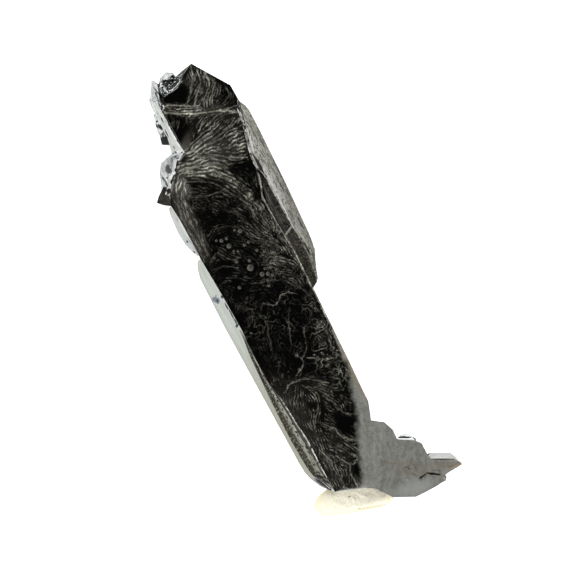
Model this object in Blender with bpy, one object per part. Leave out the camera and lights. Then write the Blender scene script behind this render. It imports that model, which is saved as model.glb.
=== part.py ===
"""Hematite: a long tabular crystal lying on its back, with the dab of putty that props its thin lower end.

Run with: blender --background --python part.py

Metres, +Z up. The blade lies along Y, its upper end towards +Y and its black basal face up. The origin is on
the surface that it lies on, under the middle of its length and width. Plan positions below are millimetres.

The specimen is many crystals grown together into one solid. Each is a convex form bounded by its own flat
faces: a plan outline, a basal face above and below, bevels dipping from lines on the top, and the same bevels
turned over below its belt.
"""

import math
from dataclasses import dataclass

import bmesh
import bpy
from mathutils import Matrix, Vector

MM = 0.001  # metres in a millimetre

# Driving dimensions, in millimetres
FACE_HEIGHT = 4.30  # basal face of the main blade above the surface it lies on
FACE_RIGHT = 2.25  # right edge of the basal face
FACE_LEFT = -6.50  # left edge of the basal face at its widest
RIGHT_REACH = 4.53  # outer edge of the right-hand side crystal
LEFT_REACH = -7.45  # outer edge of the left-hand side crystal
UPPER_END = 24.33  # top vertex of the blade
LOWER_END = -20.40  # left corner of the blade's lower end
FAN_END = -24.48  # lowest lobe of the fan
TERRACE_HEIGHT = 3.95  # step between the basal face and the right-hand bevel
FAN_HEIGHT = 4.14  # uppermost plate of the fan
FAN_UNDERSIDE = 2.30  # lowest plate of the fan under its thickest lobe
BELT_HEIGHT = 1.65  # where upper and lower bevels of the side crystals meet

# Dips of hematite's common faces below its basal plane, in degrees
RHOMB_DIP = 57.6
LOW_RHOMB_DIP = 38.3
PYRAMID_DIP = 61.2

# Growth layers and hillocks on the basal face, in millimetres
LAYER_STEP = 0.06
LAYER_POINTS = 40
TOP_LAYER = 4
HILLOCK_SIDES = 7
HILLOCK_HEIGHT = 0.10
ROOT = 0.25  # how deep a layer or a hillock is rooted in the face that it grew on

# Putty dab, in millimetres: where it sits, half its length along its crest, half its width and its height
PUTTY_CENTRE = (-3.70, -22.05)
PUTTY_TURN = -20.5  # degrees from X to the crest
PUTTY_HALF_LENGTH = 4.05
PUTTY_HALF_WIDTH = 1.60
PUTTY_TUCK = 0.75  # how much further it reaches under the blade
PUTTY_HEIGHT = 2.50
PUTTY_SEGMENTS = 24
PUTTY_RINGS = 12


@dataclass(frozen=True)
class Bevel:
    """A flat face through the line from start to end at a height, dipping away to the right of that line."""

    start: tuple
    end: tuple
    height: float
    dip: float

    def plane(self):
        """A point on the face and its outward normal. A negative dip faces down."""
        run = Vector(self.end) - Vector(self.start)
        outward = Vector((run.y, -run.x, 0)).normalized()
        slope = math.radians(abs(self.dip))
        up = math.copysign(math.cos(slope), self.dip)
        return Vector((*self.start, self.height)), outward * math.sin(slope) + Vector((0, 0, up))


@dataclass(frozen=True)
class Crystal:
    """A convex crystal: its plan outline, anticlockwise, its basal faces, its bevels and its belt height."""

    name: str
    outline: tuple
    bottom: float
    top: float
    bevels: tuple = ()
    belt: float = 0.0
    under_dip: float = RHOMB_DIP

    def planes(self):
        """Every face of the crystal as a point and an outward normal."""
        up = Vector((0, 0, 1))
        found = [(up * self.top, up), (up * self.bottom, -up)]
        sides = list(zip(self.outline, self.outline[1:] + self.outline[:1]))
        found += [Bevel(start, end, self.top, 90).plane() for start, end in sides]
        if self.belt > self.bottom:
            found += [Bevel(start, end, self.belt, -self.under_dip).plane() for start, end in sides]
        return found + [bevel.plane() for bevel in self.bevels]


def main_crystals():
    """The long blade and the upper blade that continues it."""
    lower_end = Bevel((-4.87, LOWER_END), (-2.30, -21.20), 3.40, -LOW_RHOMB_DIP)
    blade = Crystal(
        "main_blade",
        (
            (-4.87, LOWER_END),
            (-2.30, -21.20),
            (1.50, -15.75),
            (2.15, -13.80),
            (FACE_RIGHT, -7.50),
            (2.40, 12.00),
            (2.35, 16.40),
            (-3.10, 16.62),
            (-6.66, 12.54),
            (FACE_LEFT, 6.50),
            (-6.00, -7.50),
        ),
        bottom=0.20,
        top=FACE_HEIGHT,
        bevels=(lower_end,),
        belt=1.05,
    )
    upper = Crystal(
        "upper_blade",
        (
            (-4.12, 15.30),
            (2.20, 11.20),
            (2.75, 13.00),
            (4.02, 18.70),
            (3.91, 20.66),
            (1.35, UPPER_END),
            (-3.45, 23.30),
            (-4.10, 21.80),
        ),
        bottom=0.55,
        top=FACE_HEIGHT + 0.05,
        bevels=(
            Bevel((-3.20, 24.00), (-3.10, 15.00), FACE_HEIGHT + 0.05, RHOMB_DIP),
            Bevel((3.91, 20.66), (1.35, UPPER_END), 3.10, -LOW_RHOMB_DIP),
        ),
        belt=1.90,
    )
    return [blade, upper]


def right_crystals():
    """The side crystal along the right edge: a sunken terrace, then a long bevel down to its belt."""
    terrace = Crystal(
        "right_terrace",
        (
            (1.50, -1.60),
            (2.30, -1.20),
            (3.11, -0.68),
            (3.62, 0.85),
            (4.21, 2.25),
            (4.36, 3.90),
            (RIGHT_REACH, 9.50),
            (RIGHT_REACH + 0.01, 13.60),
            (1.50, 13.60),
        ),
        bottom=0.35,
        top=TERRACE_HEIGHT,
        bevels=(
            Bevel((3.24, 5.00), (3.08, 13.20), TERRACE_HEIGHT, RHOMB_DIP),
            Bevel((2.20, 4.30), (3.20, 4.95), TERRACE_HEIGHT, 20.0),
        ),
        belt=BELT_HEIGHT,
    )
    shoulder = Crystal(
        "right_shoulder",
        (
            (1.50, 11.60),
            (3.90, 12.30),
            (RIGHT_REACH, 12.90),
            (RIGHT_REACH + 0.02, 15.20),
            (4.50, 17.60),
            (4.32, 18.30),
            (3.90, 18.95),
            (1.50, 19.20),
        ),
        bottom=0.75,
        top=FACE_HEIGHT - 0.06,
        bevels=(Bevel((2.78, 12.80), (3.92, 19.10), FACE_HEIGHT - 0.06, RHOMB_DIP),),
        belt=BELT_HEIGHT + 0.15,
    )
    return [terrace, shoulder]


def left_crystals():
    """The side crystal along the left edge with its stepped inner terrace, and the small strip above it."""
    bevel = Crystal(
        "left_bevel",
        (
            (-4.20, 6.60),
            (-6.56, 6.50),
            (-6.90, 6.34),
            (-7.22, 5.72),
            (LEFT_REACH, 4.70),
            (-7.42, -0.80),
            (-6.84, -16.40),
            (-6.42, -18.30),
            (-5.10, -20.32),
            (-3.60, -19.80),
        ),
        bottom=0.30,
        top=FACE_HEIGHT - 0.03,
        bevels=(
            Bevel((FACE_LEFT, 6.50), (-5.98, -7.50), FACE_HEIGHT - 0.04, RHOMB_DIP),
            Bevel((-5.98, -7.50), (-5.35, -16.00), FACE_HEIGHT - 0.50, RHOMB_DIP),
            Bevel((-6.42, -18.30), (-5.10, -20.32), 3.00, -LOW_RHOMB_DIP),
        ),
        belt=BELT_HEIGHT,
    )
    inner = Crystal(
        "left_inner_terrace",
        (
            (-4.40, -0.60),
            (-5.90, -1.00),
            (-6.24, -8.00),
            (-6.16, -13.50),
            (-5.86, -18.20),
            (-5.20, -19.90),
            (-4.20, -20.10),
        ),
        bottom=2.20,
        top=FACE_HEIGHT - 0.02,
        bevels=(Bevel((-6.00, -1.00), (-4.90, -19.00), FACE_HEIGHT - 0.02, 24.0),),
    )
    strip = Crystal(
        "left_upper_strip",
        ((-5.00, 6.00), (-5.00, 13.00), (-6.98, 12.35), (-6.86, 9.60), (-6.62, 8.40), (-6.30, 7.60)),
        bottom=0.80,
        top=FACE_HEIGHT - 0.10,
        bevels=(Bevel((-6.64, 12.50), (-6.30, 7.60), FACE_HEIGHT - 0.10, PYRAMID_DIP),),
        belt=BELT_HEIGHT,
    )
    return [bevel, inner, strip]


def upper_left_crystals():
    """The curved shoulder and the etched nibs along the left of the upper blade."""
    shoulder = Crystal(
        "left_shoulder",
        (
            (-3.60, 12.00),
            (-3.00, 16.70),
            (-4.30, 17.10),
            (-5.80, 16.90),
            (-6.30, 16.20),
            (-6.97, 14.40),
            (-6.90, 12.60),
        ),
        bottom=0.90,
        top=FACE_HEIGHT - 0.08,
        bevels=(
            Bevel((-3.10, 16.62), (-6.66, 12.54), FACE_HEIGHT - 0.08, 46.0),
            Bevel((-4.20, 16.60), (-6.80, 13.80), FACE_HEIGHT - 1.05, PYRAMID_DIP),
        ),
        belt=BELT_HEIGHT,
    )
    nib = Crystal(
        "shoulder_nib",
        ((-6.60, 14.60), (-7.55, 13.88), (-7.95, 13.42), (-7.40, 12.88), (-6.50, 12.30), (-6.00, 13.20)),
        bottom=1.80,
        top=3.30,
        bevels=(Bevel((-6.90, 14.30), (-7.00, 12.40), 3.30, 30.0),),
        belt=2.20,
        under_dip=LOW_RHOMB_DIP,
    )
    tooth = Crystal(
        "side_tooth",
        ((-3.70, 19.60), (-4.62, 19.36), (-4.86, 18.42), (-4.20, 18.08), (-3.70, 18.30)),
        bottom=2.30,
        top=3.70,
        bevels=(Bevel((-4.00, 19.50), (-4.10, 18.00), 3.70, LOW_RHOMB_DIP),),
        belt=2.90,
        under_dip=LOW_RHOMB_DIP,
    )
    step = Crystal(
        "side_step",
        ((-3.60, 21.40), (-4.30, 21.50), (-4.42, 21.05), (-4.20, 20.40), (-3.60, 20.30)),
        bottom=2.10,
        top=3.20,
        bevels=(Bevel((-3.90, 21.50), (-3.95, 20.30), 3.20, LOW_RHOMB_DIP),),
        belt=2.60,
        under_dip=LOW_RHOMB_DIP,
    )
    return [shoulder, nib, tooth, step]


def crown_crystals():
    """The ragged lumps at the upper left corner, each with a sloping cap."""
    return [
        Crystal(
            "crown_middle",
            (
                (-1.00, 23.10),
                (-0.50, 23.80),
                (-0.72, 24.34),
                (-1.26, 24.72),
                (-2.06, 24.45),
                (-2.50, 23.90),
                (-2.20, 22.90),
            ),
            bottom=1.80,
            top=FACE_HEIGHT + 0.10,
            bevels=(
                Bevel((-0.90, 24.30), (-2.30, 24.10), FACE_HEIGHT, 52.0),
                Bevel((-2.00, 24.00), (-2.20, 23.00), FACE_HEIGHT - 0.05, 35.0),
            ),
            belt=2.90,
            under_dip=48.0,
        ),
        Crystal(
            "crown_spike",
            (
                (-2.50, 22.80),
                (-2.45, 24.00),
                (-2.90, 24.75),
                (-3.18, 24.12),
                (-3.75, 23.40),
                (-3.30, 22.70),
            ),
            bottom=1.90,
            top=FACE_HEIGHT - 0.10,
            bevels=(
                Bevel((-2.40, 24.20), (-3.50, 23.60), FACE_HEIGHT - 0.20, 44.0),
                Bevel((-3.00, 24.00), (-3.25, 22.80), FACE_HEIGHT - 0.30, RHOMB_DIP),
            ),
            belt=2.70,
            under_dip=48.0,
        ),
        Crystal(
            "crown_side",
            (
                (-3.00, 22.20),
                (-3.10, 23.50),
                (-3.74, 23.38),
                (-4.06, 22.96),
                (-4.14, 22.10),
                (-3.60, 21.80),
            ),
            bottom=1.60,
            top=3.70,
            bevels=(Bevel((-3.40, 23.60), (-3.55, 22.00), 3.70, 42.0),),
            belt=2.40,
            under_dip=48.0,
        ),
        Crystal(
            "crown_vertex",
            ((0.20, 22.60), (2.40, 22.40), (1.36, UPPER_END), (0.82, 24.14), (0.18, 23.80)),
            bottom=1.80,
            top=FACE_HEIGHT + 0.09,
            bevels=(Bevel((2.60, 22.50), (0.20, 23.95), FACE_HEIGHT + 0.08, 14.0),),
            belt=3.00,
            under_dip=48.0,
        ),
    ]


def fan_crystals():
    """Thin plates fanning out of the blade's lower right corner, stepped like a hand of cards."""
    return [
        Crystal(
            "fan_root",
            (
                (-2.40, -21.16),
                (-1.05, -21.95),
                (3.02, -19.60),
                (3.05, -18.38),
                (3.10, -17.50),
                (2.74, -16.45),
                (2.05, -15.98),
                (1.30, -14.60),
                (-2.00, -17.50),
            ),
            bottom=1.55,
            top=FAN_HEIGHT,
            belt=3.30,
            under_dip=LOW_RHOMB_DIP,
        ),
        Crystal(
            "fan_middle",
            (
                (-1.05, -21.93),
                (0.08, -23.50),
                (2.15, FAN_END),
                (3.30, FAN_END),
                (4.55, -24.20),
                (5.12, -21.95),
                (5.06, -19.90),
                (4.64, -19.46),
                (3.18, -18.56),
                (0.80, -18.20),
            ),
            bottom=FAN_UNDERSIDE,
            top=FAN_HEIGHT - 0.14,
            bevels=(Bevel((0.08, -23.50), (2.15, FAN_END), FAN_HEIGHT - 0.32, 40.0),),
            belt=3.20,
            under_dip=LOW_RHOMB_DIP,
        ),
        Crystal(
            "fan_outer",
            (
                (1.80, -23.40),
                (4.00, -23.90),
                (5.60, -23.20),
                (5.16, -21.40),
                (4.20, -20.40),
                (2.00, -21.00),
            ),
            bottom=2.70,
            top=FAN_HEIGHT - 0.02,
            bevels=(Bevel((5.60, -23.20), (5.16, -21.40), FAN_HEIGHT - 0.10, 30.0),),
            belt=3.40,
            under_dip=LOW_RHOMB_DIP,
        ),
        Crystal(
            "tip",
            (
                (3.60, -21.60),
                (3.70, -23.00),
                (5.40, -23.50),
                (6.60, -23.68),
                (7.80, -23.62),
                (7.34, -22.92),
                (5.10, -21.92),
            ),
            bottom=2.85,
            top=FAN_HEIGHT - 0.30,
            bevels=(
                Bevel((5.40, -23.30), (7.80, -23.40), FAN_HEIGHT - 0.45, 50.0),
                Bevel((7.40, -23.70), (7.10, -22.70), FAN_HEIGHT - 0.40, 35.0),
            ),
            belt=3.35,
            under_dip=LOW_RHOMB_DIP,
        ),
        Crystal(
            "tip_ledge",
            (
                (4.40, -21.20),
                (4.60, -22.60),
                (7.20, -23.10),
                (7.44, -22.64),
                (7.16, -22.06),
                (5.26, -21.16),
            ),
            bottom=2.60,
            top=3.45,
            bevels=(Bevel((7.40, -22.90), (4.90, -21.50), 3.45, 34.0),),
            belt=2.95,
            under_dip=LOW_RHOMB_DIP,
        ),
        Crystal(
            "lower_lobe",
            (
                (2.60, -24.10),
                (4.50, -24.30),
                (5.12, -24.42),
                (5.56, -24.40),
                (5.83, -24.08),
                (5.40, -23.40),
                (3.20, -22.60),
            ),
            bottom=2.55,
            top=FAN_HEIGHT - 0.42,
            bevels=(Bevel((4.50, -24.10), (5.83, -23.90), FAN_HEIGHT - 0.50, 45.0),),
            belt=3.10,
            under_dip=LOW_RHOMB_DIP,
        ),
        Crystal(
            "fan_sliver",
            (
                (2.60, -18.60),
                (2.60, -19.60),
                (4.50, -19.90),
                (4.76, -19.28),
                (4.50, -18.86),
                (4.02, -18.38),
                (3.34, -18.38),
            ),
            bottom=2.30,
            top=3.20,
            belt=2.70,
            under_dip=LOW_RHOMB_DIP,
        ),
    ]


def back_crystals():
    """Plates on the underside. The widest is the flat face that the specimen lies on."""
    return [
        Crystal(
            "rest_plate",
            (
                (-3.80, -16.60),
                (0.60, -14.20),
                (1.50, -9.00),
                (1.70, 6.00),
                (0.80, 14.50),
                (-2.60, 15.00),
                (-5.20, 10.50),
                (-5.50, 2.00),
                (-5.10, -8.00),
            ),
            bottom=0.0,
            top=1.20,
            belt=0.35,
        ),
        Crystal(
            "upper_back_plate",
            ((-2.20, 14.00), (2.10, 13.40), (3.10, 18.60), (2.00, 21.60), (-1.60, 21.40), (-2.80, 18.00)),
            bottom=0.25,
            top=1.40,
            belt=0.80,
        ),
        Crystal(
            "fan_back_plate",
            (
                (-0.60, -19.60),
                (2.00, -22.40),
                (3.80, -22.00),
                (3.60, -19.80),
                (1.80, -17.40),
                (-0.40, -16.40),
            ),
            bottom=1.45,
            top=2.90,
            belt=2.10,
            under_dip=LOW_RHOMB_DIP,
        ),
    ]


def new_object(name, form, collection):
    """An object made from a bmesh, linked to a collection."""
    bmesh.ops.recalc_face_normals(form, faces=form.faces)
    mesh = bpy.data.meshes.new(name)
    form.to_mesh(mesh)
    form.free()
    made = bpy.data.objects.new(name, mesh)
    collection.objects.link(made)
    return made


def grow(crystal, collection):
    """Cuts one crystal out of a block, face by face."""
    block_side = 80 * MM
    form = bmesh.new()
    bmesh.ops.create_cube(form, size=block_side)
    for point, normal in crystal.planes():
        everything = form.verts[:] + form.edges[:] + form.faces[:]
        cut = bmesh.ops.bisect_plane(
            form, geom=everything, dist=1e-8, plane_co=point * MM, plane_no=normal, clear_outer=True
        )
        rim = [item for item in cut["geom_cut"] if isinstance(item, bmesh.types.BMEdge)]
        if rim:
            bmesh.ops.edgeloop_fill(form, edges=rim)
    return new_object(crystal.name, form, collection)


@dataclass(frozen=True)
class LayerStack:
    """Growth layers stacked on the basal face: wavy ovals about one centre, each smaller than the last."""

    name: str
    centre: tuple
    half_size: tuple
    turn: float
    wave: float
    shrink: float
    levels: tuple
    drift: tuple = (0.0, 0.0)


STACKS = (
    LayerStack("middle_layer", (-2.47, 3.35), (3.55, 11.2), 3, 0.035, 0.19, (1, 2, 3, 4), (-0.12, 0.75)),
    LayerStack("lower_layer", (-1.75, -13.90), (2.3, 5.0), 6, 0.045, 0.26, (1, 2, 3)),
    LayerStack("upper_layer", (0.55, 20.60), (2.1, 2.2), -30, 0.050, 0.22, (2, 3, 4)),
)


def layer(stack, order, level, collection):
    """One layer of a stack, its top at a number of steps above the basal face."""
    form = bmesh.new()
    ring = bmesh.ops.create_circle(form, cap_ends=True, segments=LAYER_POINTS, radius=1.0)["verts"]
    spin = Matrix.Rotation(math.radians(stack.turn), 3, "Z")
    size = 1 - stack.shrink * order
    centre = Vector((*stack.centre, FACE_HEIGHT - ROOT)) + order * Vector((*stack.drift, 0))
    for vert in ring:
        around = math.atan2(vert.co.y, vert.co.x)
        swell = math.sin(5 * around + 1.7 * level) + 0.6 * math.sin(9 * around - 2.3 * level)
        reach = size * (1 + stack.wave * swell)
        flat = Vector((stack.half_size[0] * math.cos(around), stack.half_size[1] * math.sin(around), 0))
        vert.co = (spin @ flat * reach + centre) * MM
    raised = bmesh.ops.extrude_face_region(form, geom=form.faces[:])["geom"]
    corners = [item for item in raised if isinstance(item, bmesh.types.BMVert)]
    bmesh.ops.translate(form, verts=corners, vec=(0, 0, (ROOT + LAYER_STEP * level) * MM))
    return new_object(f"{stack.name}_{level}", form, collection)


def growth_layers(collection):
    """The stacked layers of the basal face."""
    for stack in STACKS:
        for order, level in enumerate(stack.levels):
            layer(stack, order, level, collection)


def hillocks(collection):
    """Low growth pyramids scattered over the middle of the basal face."""
    places = (
        (-2.18, 7.51, 0.13),
        (-1.73, 7.18, 0.22),
        (-3.27, 7.11, 0.16),
        (-3.81, 7.15, 0.20),
        (-4.26, 7.37, 0.13),
        (-3.38, 6.32, 0.25),
        (-1.95, 5.72, 0.17),
        (-1.46, 5.81, 0.15),
        (-3.16, 5.65, 0.13),
        (-2.81, 5.46, 0.13),
        (-1.07, 4.70, 0.16),
        (-0.43, 4.29, 0.15),
        (-0.72, 4.00, 0.12),
        (-3.38, 4.59, 0.18),
        (-2.20, 4.13, 0.17),
        (-2.42, 3.44, 0.34),
        (-1.66, 2.34, 0.24),
        (-1.12, 2.12, 0.20),
        (-0.76, 1.80, 0.16),
        (-1.19, 2.70, 0.12),
        (-0.56, 2.57, 0.17),
        (-0.18, 2.17, 0.14),
        (-1.41, 1.54, 0.15),
        (-1.57, 1.00, 0.15),
        (-4.30, 2.14, 0.17),
    )
    foot = FACE_HEIGHT - ROOT
    depth = ROOT + TOP_LAYER * LAYER_STEP + HILLOCK_HEIGHT
    for number, (x, y, radius) in enumerate(places, start=1):
        form = bmesh.new()
        bmesh.ops.create_cone(
            form,
            cap_ends=True,
            segments=HILLOCK_SIDES,
            radius1=radius * 1.4 * MM,
            radius2=radius * 0.5 * MM,
            depth=depth * MM,
            matrix=Matrix.Translation(Vector((x, y, foot + depth / 2)) * MM),
        )
        new_object(f"hillock_{number}", form, collection)


def hollows(collection):
    """Cutters for the pits and notches where crystals didn't quite close up."""
    places = (
        ("fan_pit_1", 1.40, -20.20, FAN_HEIGHT, 0.34, 0.30),
        ("fan_pit_2", 2.25, -20.70, FAN_HEIGHT, 0.26, 0.26),
        ("fan_pit_3", 1.95, -21.60, FAN_HEIGHT - 0.14, 0.40, 0.34),
        ("fan_pit_4", 3.10, -22.15, FAN_HEIGHT, 0.30, 0.28),
        ("strip_chip", -6.36, -1.40, 4.00, 0.28, 0.40),
        ("crown_notch", -0.22, 24.00, FACE_HEIGHT + 0.10, 0.46, 0.90),
        ("shoulder_gap", -3.60, 17.40, 4.10, 0.34, 0.70),
    )
    for name, x, y, height, radius, depth in places:
        form = bmesh.new()
        bmesh.ops.create_cone(
            form,
            cap_ends=True,
            segments=6,
            radius1=radius * 0.35 * MM,
            radius2=radius * 1.6 * MM,
            depth=2 * depth * MM,
            matrix=Matrix.Translation(Vector((x, y, height)) * MM),
        )
        new_object(name, form, collection)


def putty_dab(collection):
    """A soft dab pressed flat on the surface, its crest raised against the blade's lower end."""
    form = bmesh.new()
    bmesh.ops.create_uvsphere(form, u_segments=PUTTY_SEGMENTS, v_segments=PUTTY_RINGS, radius=1.0)
    for vert in form.verts:
        x, y, z = vert.co
        around = math.atan2(y, x)
        uneven = 1 + 0.03 * math.sin(3 * around + 0.8) + 0.025 * math.sin(5 * around + 2.0)
        crest = 0.78 + 0.22 * math.cos(1.2 * (y + 0.35)) + 0.07 * math.sin(5.5 * x + 1.0)
        squash = 1 - 0.12 * max(z, 0)
        along = PUTTY_HALF_LENGTH * x * uneven * squash
        tuck = PUTTY_TUCK * max(y, 0) * (1 - x * x)
        across = (PUTTY_HALF_WIDTH * y + tuck) * uneven * squash
        vert.co = Vector((along, across, PUTTY_HEIGHT * crest * max(z, 0) ** 0.8)) * MM
    dab = new_object("mounting_putty", form, collection)
    dab.location = Vector((*PUTTY_CENTRE, 0)) * MM
    dab.rotation_euler.z = math.radians(PUTTY_TURN)
    dab.data.shade_smooth()
    dab.data.set_sharp_from_angle(angle=math.radians(50))
    return dab


def principled(name, colour, roughness, metallic):
    """A material with a Principled BSDF of one colour."""
    material = bpy.data.materials.new(name)
    material.use_nodes = True
    shader = material.node_tree.nodes["Principled BSDF"]
    shader.inputs["Base Color"].default_value = (*colour, 1)
    shader.inputs["Roughness"].default_value = roughness
    shader.inputs["Metallic"].default_value = metallic
    return material


def join(target, tools, operation):
    """An exact Boolean of the target with every solid in a collection of tools."""
    modifier = target.modifiers.new(operation.capitalize(), "BOOLEAN")
    modifier.operation = operation
    modifier.operand_type = "COLLECTION"
    modifier.collection = tools
    modifier.solver = "EXACT"


def new_collection(name, helper=False):
    """A collection in the scene. A helper's objects are left out of renders."""
    collection = bpy.data.collections.new(name)
    bpy.context.scene.collection.children.link(collection)
    collection.hide_render = helper
    return collection


def hide(collection):
    """Marks every solid of a collection as a tool."""
    for tool in collection.objects:
        tool.hide_render = True
        tool.display_type = "WIRE"


def main():
    """Builds the specimen and its putty."""
    for existing in list(bpy.data.objects):
        bpy.data.objects.remove(existing, do_unlink=True)
    specimen = new_collection("hematite_specimen")
    grown = new_collection("crystals_grown_on", helper=True)
    pits = new_collection("pits", helper=True)

    blade, *others = main_crystals()
    body = grow(blade, specimen)
    body.name = body.data.name = "hematite"
    for crystal in (
        others
        + right_crystals()
        + left_crystals()
        + upper_left_crystals()
        + crown_crystals()
        + fan_crystals()
        + back_crystals()
    ):
        grow(crystal, grown)
    growth_layers(grown)
    hillocks(grown)
    hollows(pits)
    hide(grown)
    hide(pits)
    join(body, grown, "UNION")
    join(body, pits, "DIFFERENCE")
    body.data.materials.append(principled("hematite", (0.05, 0.05, 0.052), 0.22, 0.9))

    putty = putty_dab(specimen)
    putty.data.materials.append(principled("mounting_putty", (0.87, 0.82, 0.68), 0.75, 0.0))


if __name__ == "__main__":
    main()
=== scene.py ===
"""Hematite: a long bladed crystal on its back, its mirror-black basal face covered in growth lines.

The looks of the specimen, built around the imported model. Lengths are millimetres until a mesh is made, in the
model's own frame: the blade along Y, its upper end towards +Y, the fan of thin plates towards +X, the basal
face up.
"""

import logging
import math
from collections.abc import Iterator
from dataclasses import dataclass, field
from enum import Enum
from typing import Any

import bmesh
import bpy
import numpy as np
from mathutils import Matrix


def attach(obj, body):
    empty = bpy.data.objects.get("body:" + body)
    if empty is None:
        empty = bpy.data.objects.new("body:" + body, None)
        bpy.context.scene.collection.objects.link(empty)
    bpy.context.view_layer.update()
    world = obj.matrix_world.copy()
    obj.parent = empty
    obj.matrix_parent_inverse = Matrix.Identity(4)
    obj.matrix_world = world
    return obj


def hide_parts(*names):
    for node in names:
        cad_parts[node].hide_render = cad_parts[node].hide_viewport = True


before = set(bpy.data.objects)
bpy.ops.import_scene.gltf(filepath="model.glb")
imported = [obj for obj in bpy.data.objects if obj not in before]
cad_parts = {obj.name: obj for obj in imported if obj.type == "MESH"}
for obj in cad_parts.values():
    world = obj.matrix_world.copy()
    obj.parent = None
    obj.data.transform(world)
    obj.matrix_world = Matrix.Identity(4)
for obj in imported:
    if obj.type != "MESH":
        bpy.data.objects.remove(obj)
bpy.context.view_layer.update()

LOG = logging.getLogger("hematite")
MM = 0.001  # metres in a millimetre
BODY = "root"
SHARP = 60.0  # degrees between two faces from which their edge is crisp
RHOMB = 57.6  # dip of the long bevels, in degrees
EVEN = (1.0, 1.0, 1.0)  # grains as long as they are wide
ANY = math.inf  # no limit

Array = np.ndarray
Point = tuple[float, float]
Place = tuple[float, float, float]
Colour = tuple[float, float, float]


# Shader graphs


class Wire:
    """A shader socket that takes part in sums."""

    def __init__(self, graph: "Graph", socket: bpy.types.NodeSocket) -> None:
        """Keeps the socket and the graph that it is in."""
        self.graph = graph
        self.socket = socket

    def __add__(self, other: "Wire | float") -> "Wire":
        """This plus another."""
        return self.graph.sum("ADD", self, other)

    def __sub__(self, other: "Wire | float") -> "Wire":
        """This less another."""
        return self.graph.sum("SUBTRACT", self, other)

    def __rsub__(self, other: float) -> "Wire":
        """A number less this."""
        return self.graph.sum("SUBTRACT", other, self)

    def __mul__(self, other: "Wire | float") -> "Wire":
        """This times another."""
        return self.graph.sum("MULTIPLY", self, other)

    __radd__ = __add__
    __rmul__ = __mul__


class Graph:
    """The node graph of one material, round its Principled shader."""

    def __init__(self, name: str) -> None:
        """Starts a material with its shader and its object coordinates.

        Args:
            name: The material's name.
        """
        self.material = bpy.data.materials.new(name)
        self.material.use_nodes = True
        self.tree = self.material.node_tree
        self.shader = next(node for node in self.tree.nodes if node.type == "BSDF_PRINCIPLED")
        self.place = self.node("ShaderNodeTexCoord", out="Object")

    def node(
        self,
        kind: str,
        settings: dict[str, Any] | None = None,
        inputs: dict[Any, Any] | None = None,
        out: str | int = 0,
    ) -> Wire:
        """Adds a node.

        Args:
            kind: The node's type name.
            settings: Its own settings, and "stops" for a ramp's list of position and colour.
            inputs: Values or wires for its sockets, by name or number.
            out: The output to return.

        Returns:
            That output as a wire.
        """
        node = self.tree.nodes.new(kind)
        for key, value in (settings or {}).items():
            if key == "stops":
                elements = node.color_ramp.elements
                while len(elements) < len(value):
                    elements.new(1.0)
                for element, (position, colour) in zip(elements, value):
                    element.position = position
                    element.color = (*colour, 1.0)
            else:
                setattr(node, key, value)
        for key, value in (inputs or {}).items():
            self.feed(node.inputs[key], value)
        return Wire(self, node.outputs[out])

    def feed(self, socket: bpy.types.NodeSocket, value: Any) -> None:
        """Links a wire to a socket, or sets the socket to a value.

        Args:
            socket: The input.
            value: A wire, a number, a vector or a colour without its alpha.
        """
        if isinstance(value, Wire):
            self.tree.links.new(value.socket, socket)
        elif isinstance(value, tuple) and len(value) == 3 and socket.type == "RGBA":
            socket.default_value = (*value, 1.0)
        else:
            socket.default_value = value

    def sum(self, operation: str, *values: "Wire | float") -> Wire:
        """A Math node on wires and numbers."""
        return self.node("ShaderNodeMath", {"operation": operation}, dict(enumerate(values)))

    def mix(self, share: "Wire | float", low: "Wire | Colour", high: "Wire | Colour") -> Wire:
        """A colour between two others."""
        return self.node("ShaderNodeMix", {"data_type": "RGBA"}, {0: share, 6: low, 7: high}, out=2)

    def step(self, value: Wire, low: float, high: float) -> Wire:
        """A smooth rise from 0 at one value to 1 at another."""
        inputs = {"Value": value, "From Min": low, "From Max": high}
        return self.node("ShaderNodeMapRange", {"interpolation_type": "SMOOTHSTEP"}, inputs)

    def attribute(self, name: str) -> Wire:
        """A number that the mesh keeps at each point."""
        return self.node("ShaderNodeAttribute", {"attribute_name": name}, out="Fac")

    def grain(self, stretch: Place, size: float, detail: float = 4.0, turn: float = 0.0) -> Wire:
        """Noise between 0 and 1.

        Args:
            stretch: How many times longer the grains are along X, Y and Z.
            size: The size of a grain in millimetres.
            detail: Octaves of finer noise.
            turn: Degrees from Y to the grains' own length, about Z.

        Returns:
            The noise.
        """
        scale = tuple(1.0 / (size * MM * along) for along in stretch)
        turned = self.node(
            "ShaderNodeMapping",
            {"vector_type": "TEXTURE"},
            {"Vector": self.place, "Rotation": (0.0, 0.0, math.radians(turn))},
        )
        scaled = self.node("ShaderNodeMapping", None, {"Vector": turned, "Scale": scale})
        inputs = {"Vector": scaled, "Scale": 1.0, "Detail": detail, "Roughness": 0.6}
        return self.node("ShaderNodeTexNoise", {"noise_dimensions": "3D"}, inputs, out="Fac")

    def bump(self, height: Wire, depth: float, strength: float = 1.0) -> Wire:
        """A normal bent by a height between 0 and 1 that stands for a depth in millimetres."""
        inputs = {"Height": height, "Distance": depth * MM, "Strength": strength}
        return self.node("ShaderNodeBump", None, inputs)

    def finish(self, sockets: dict[str, Any]) -> bpy.types.Material:
        """Feeds the shader's sockets.

        Args:
            sockets: Values and wires by socket name.

        Returns:
            The finished material.
        """
        for key, value in sockets.items():
            self.feed(self.shader.inputs[key], value)
        return self.material


# Finishes


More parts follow.
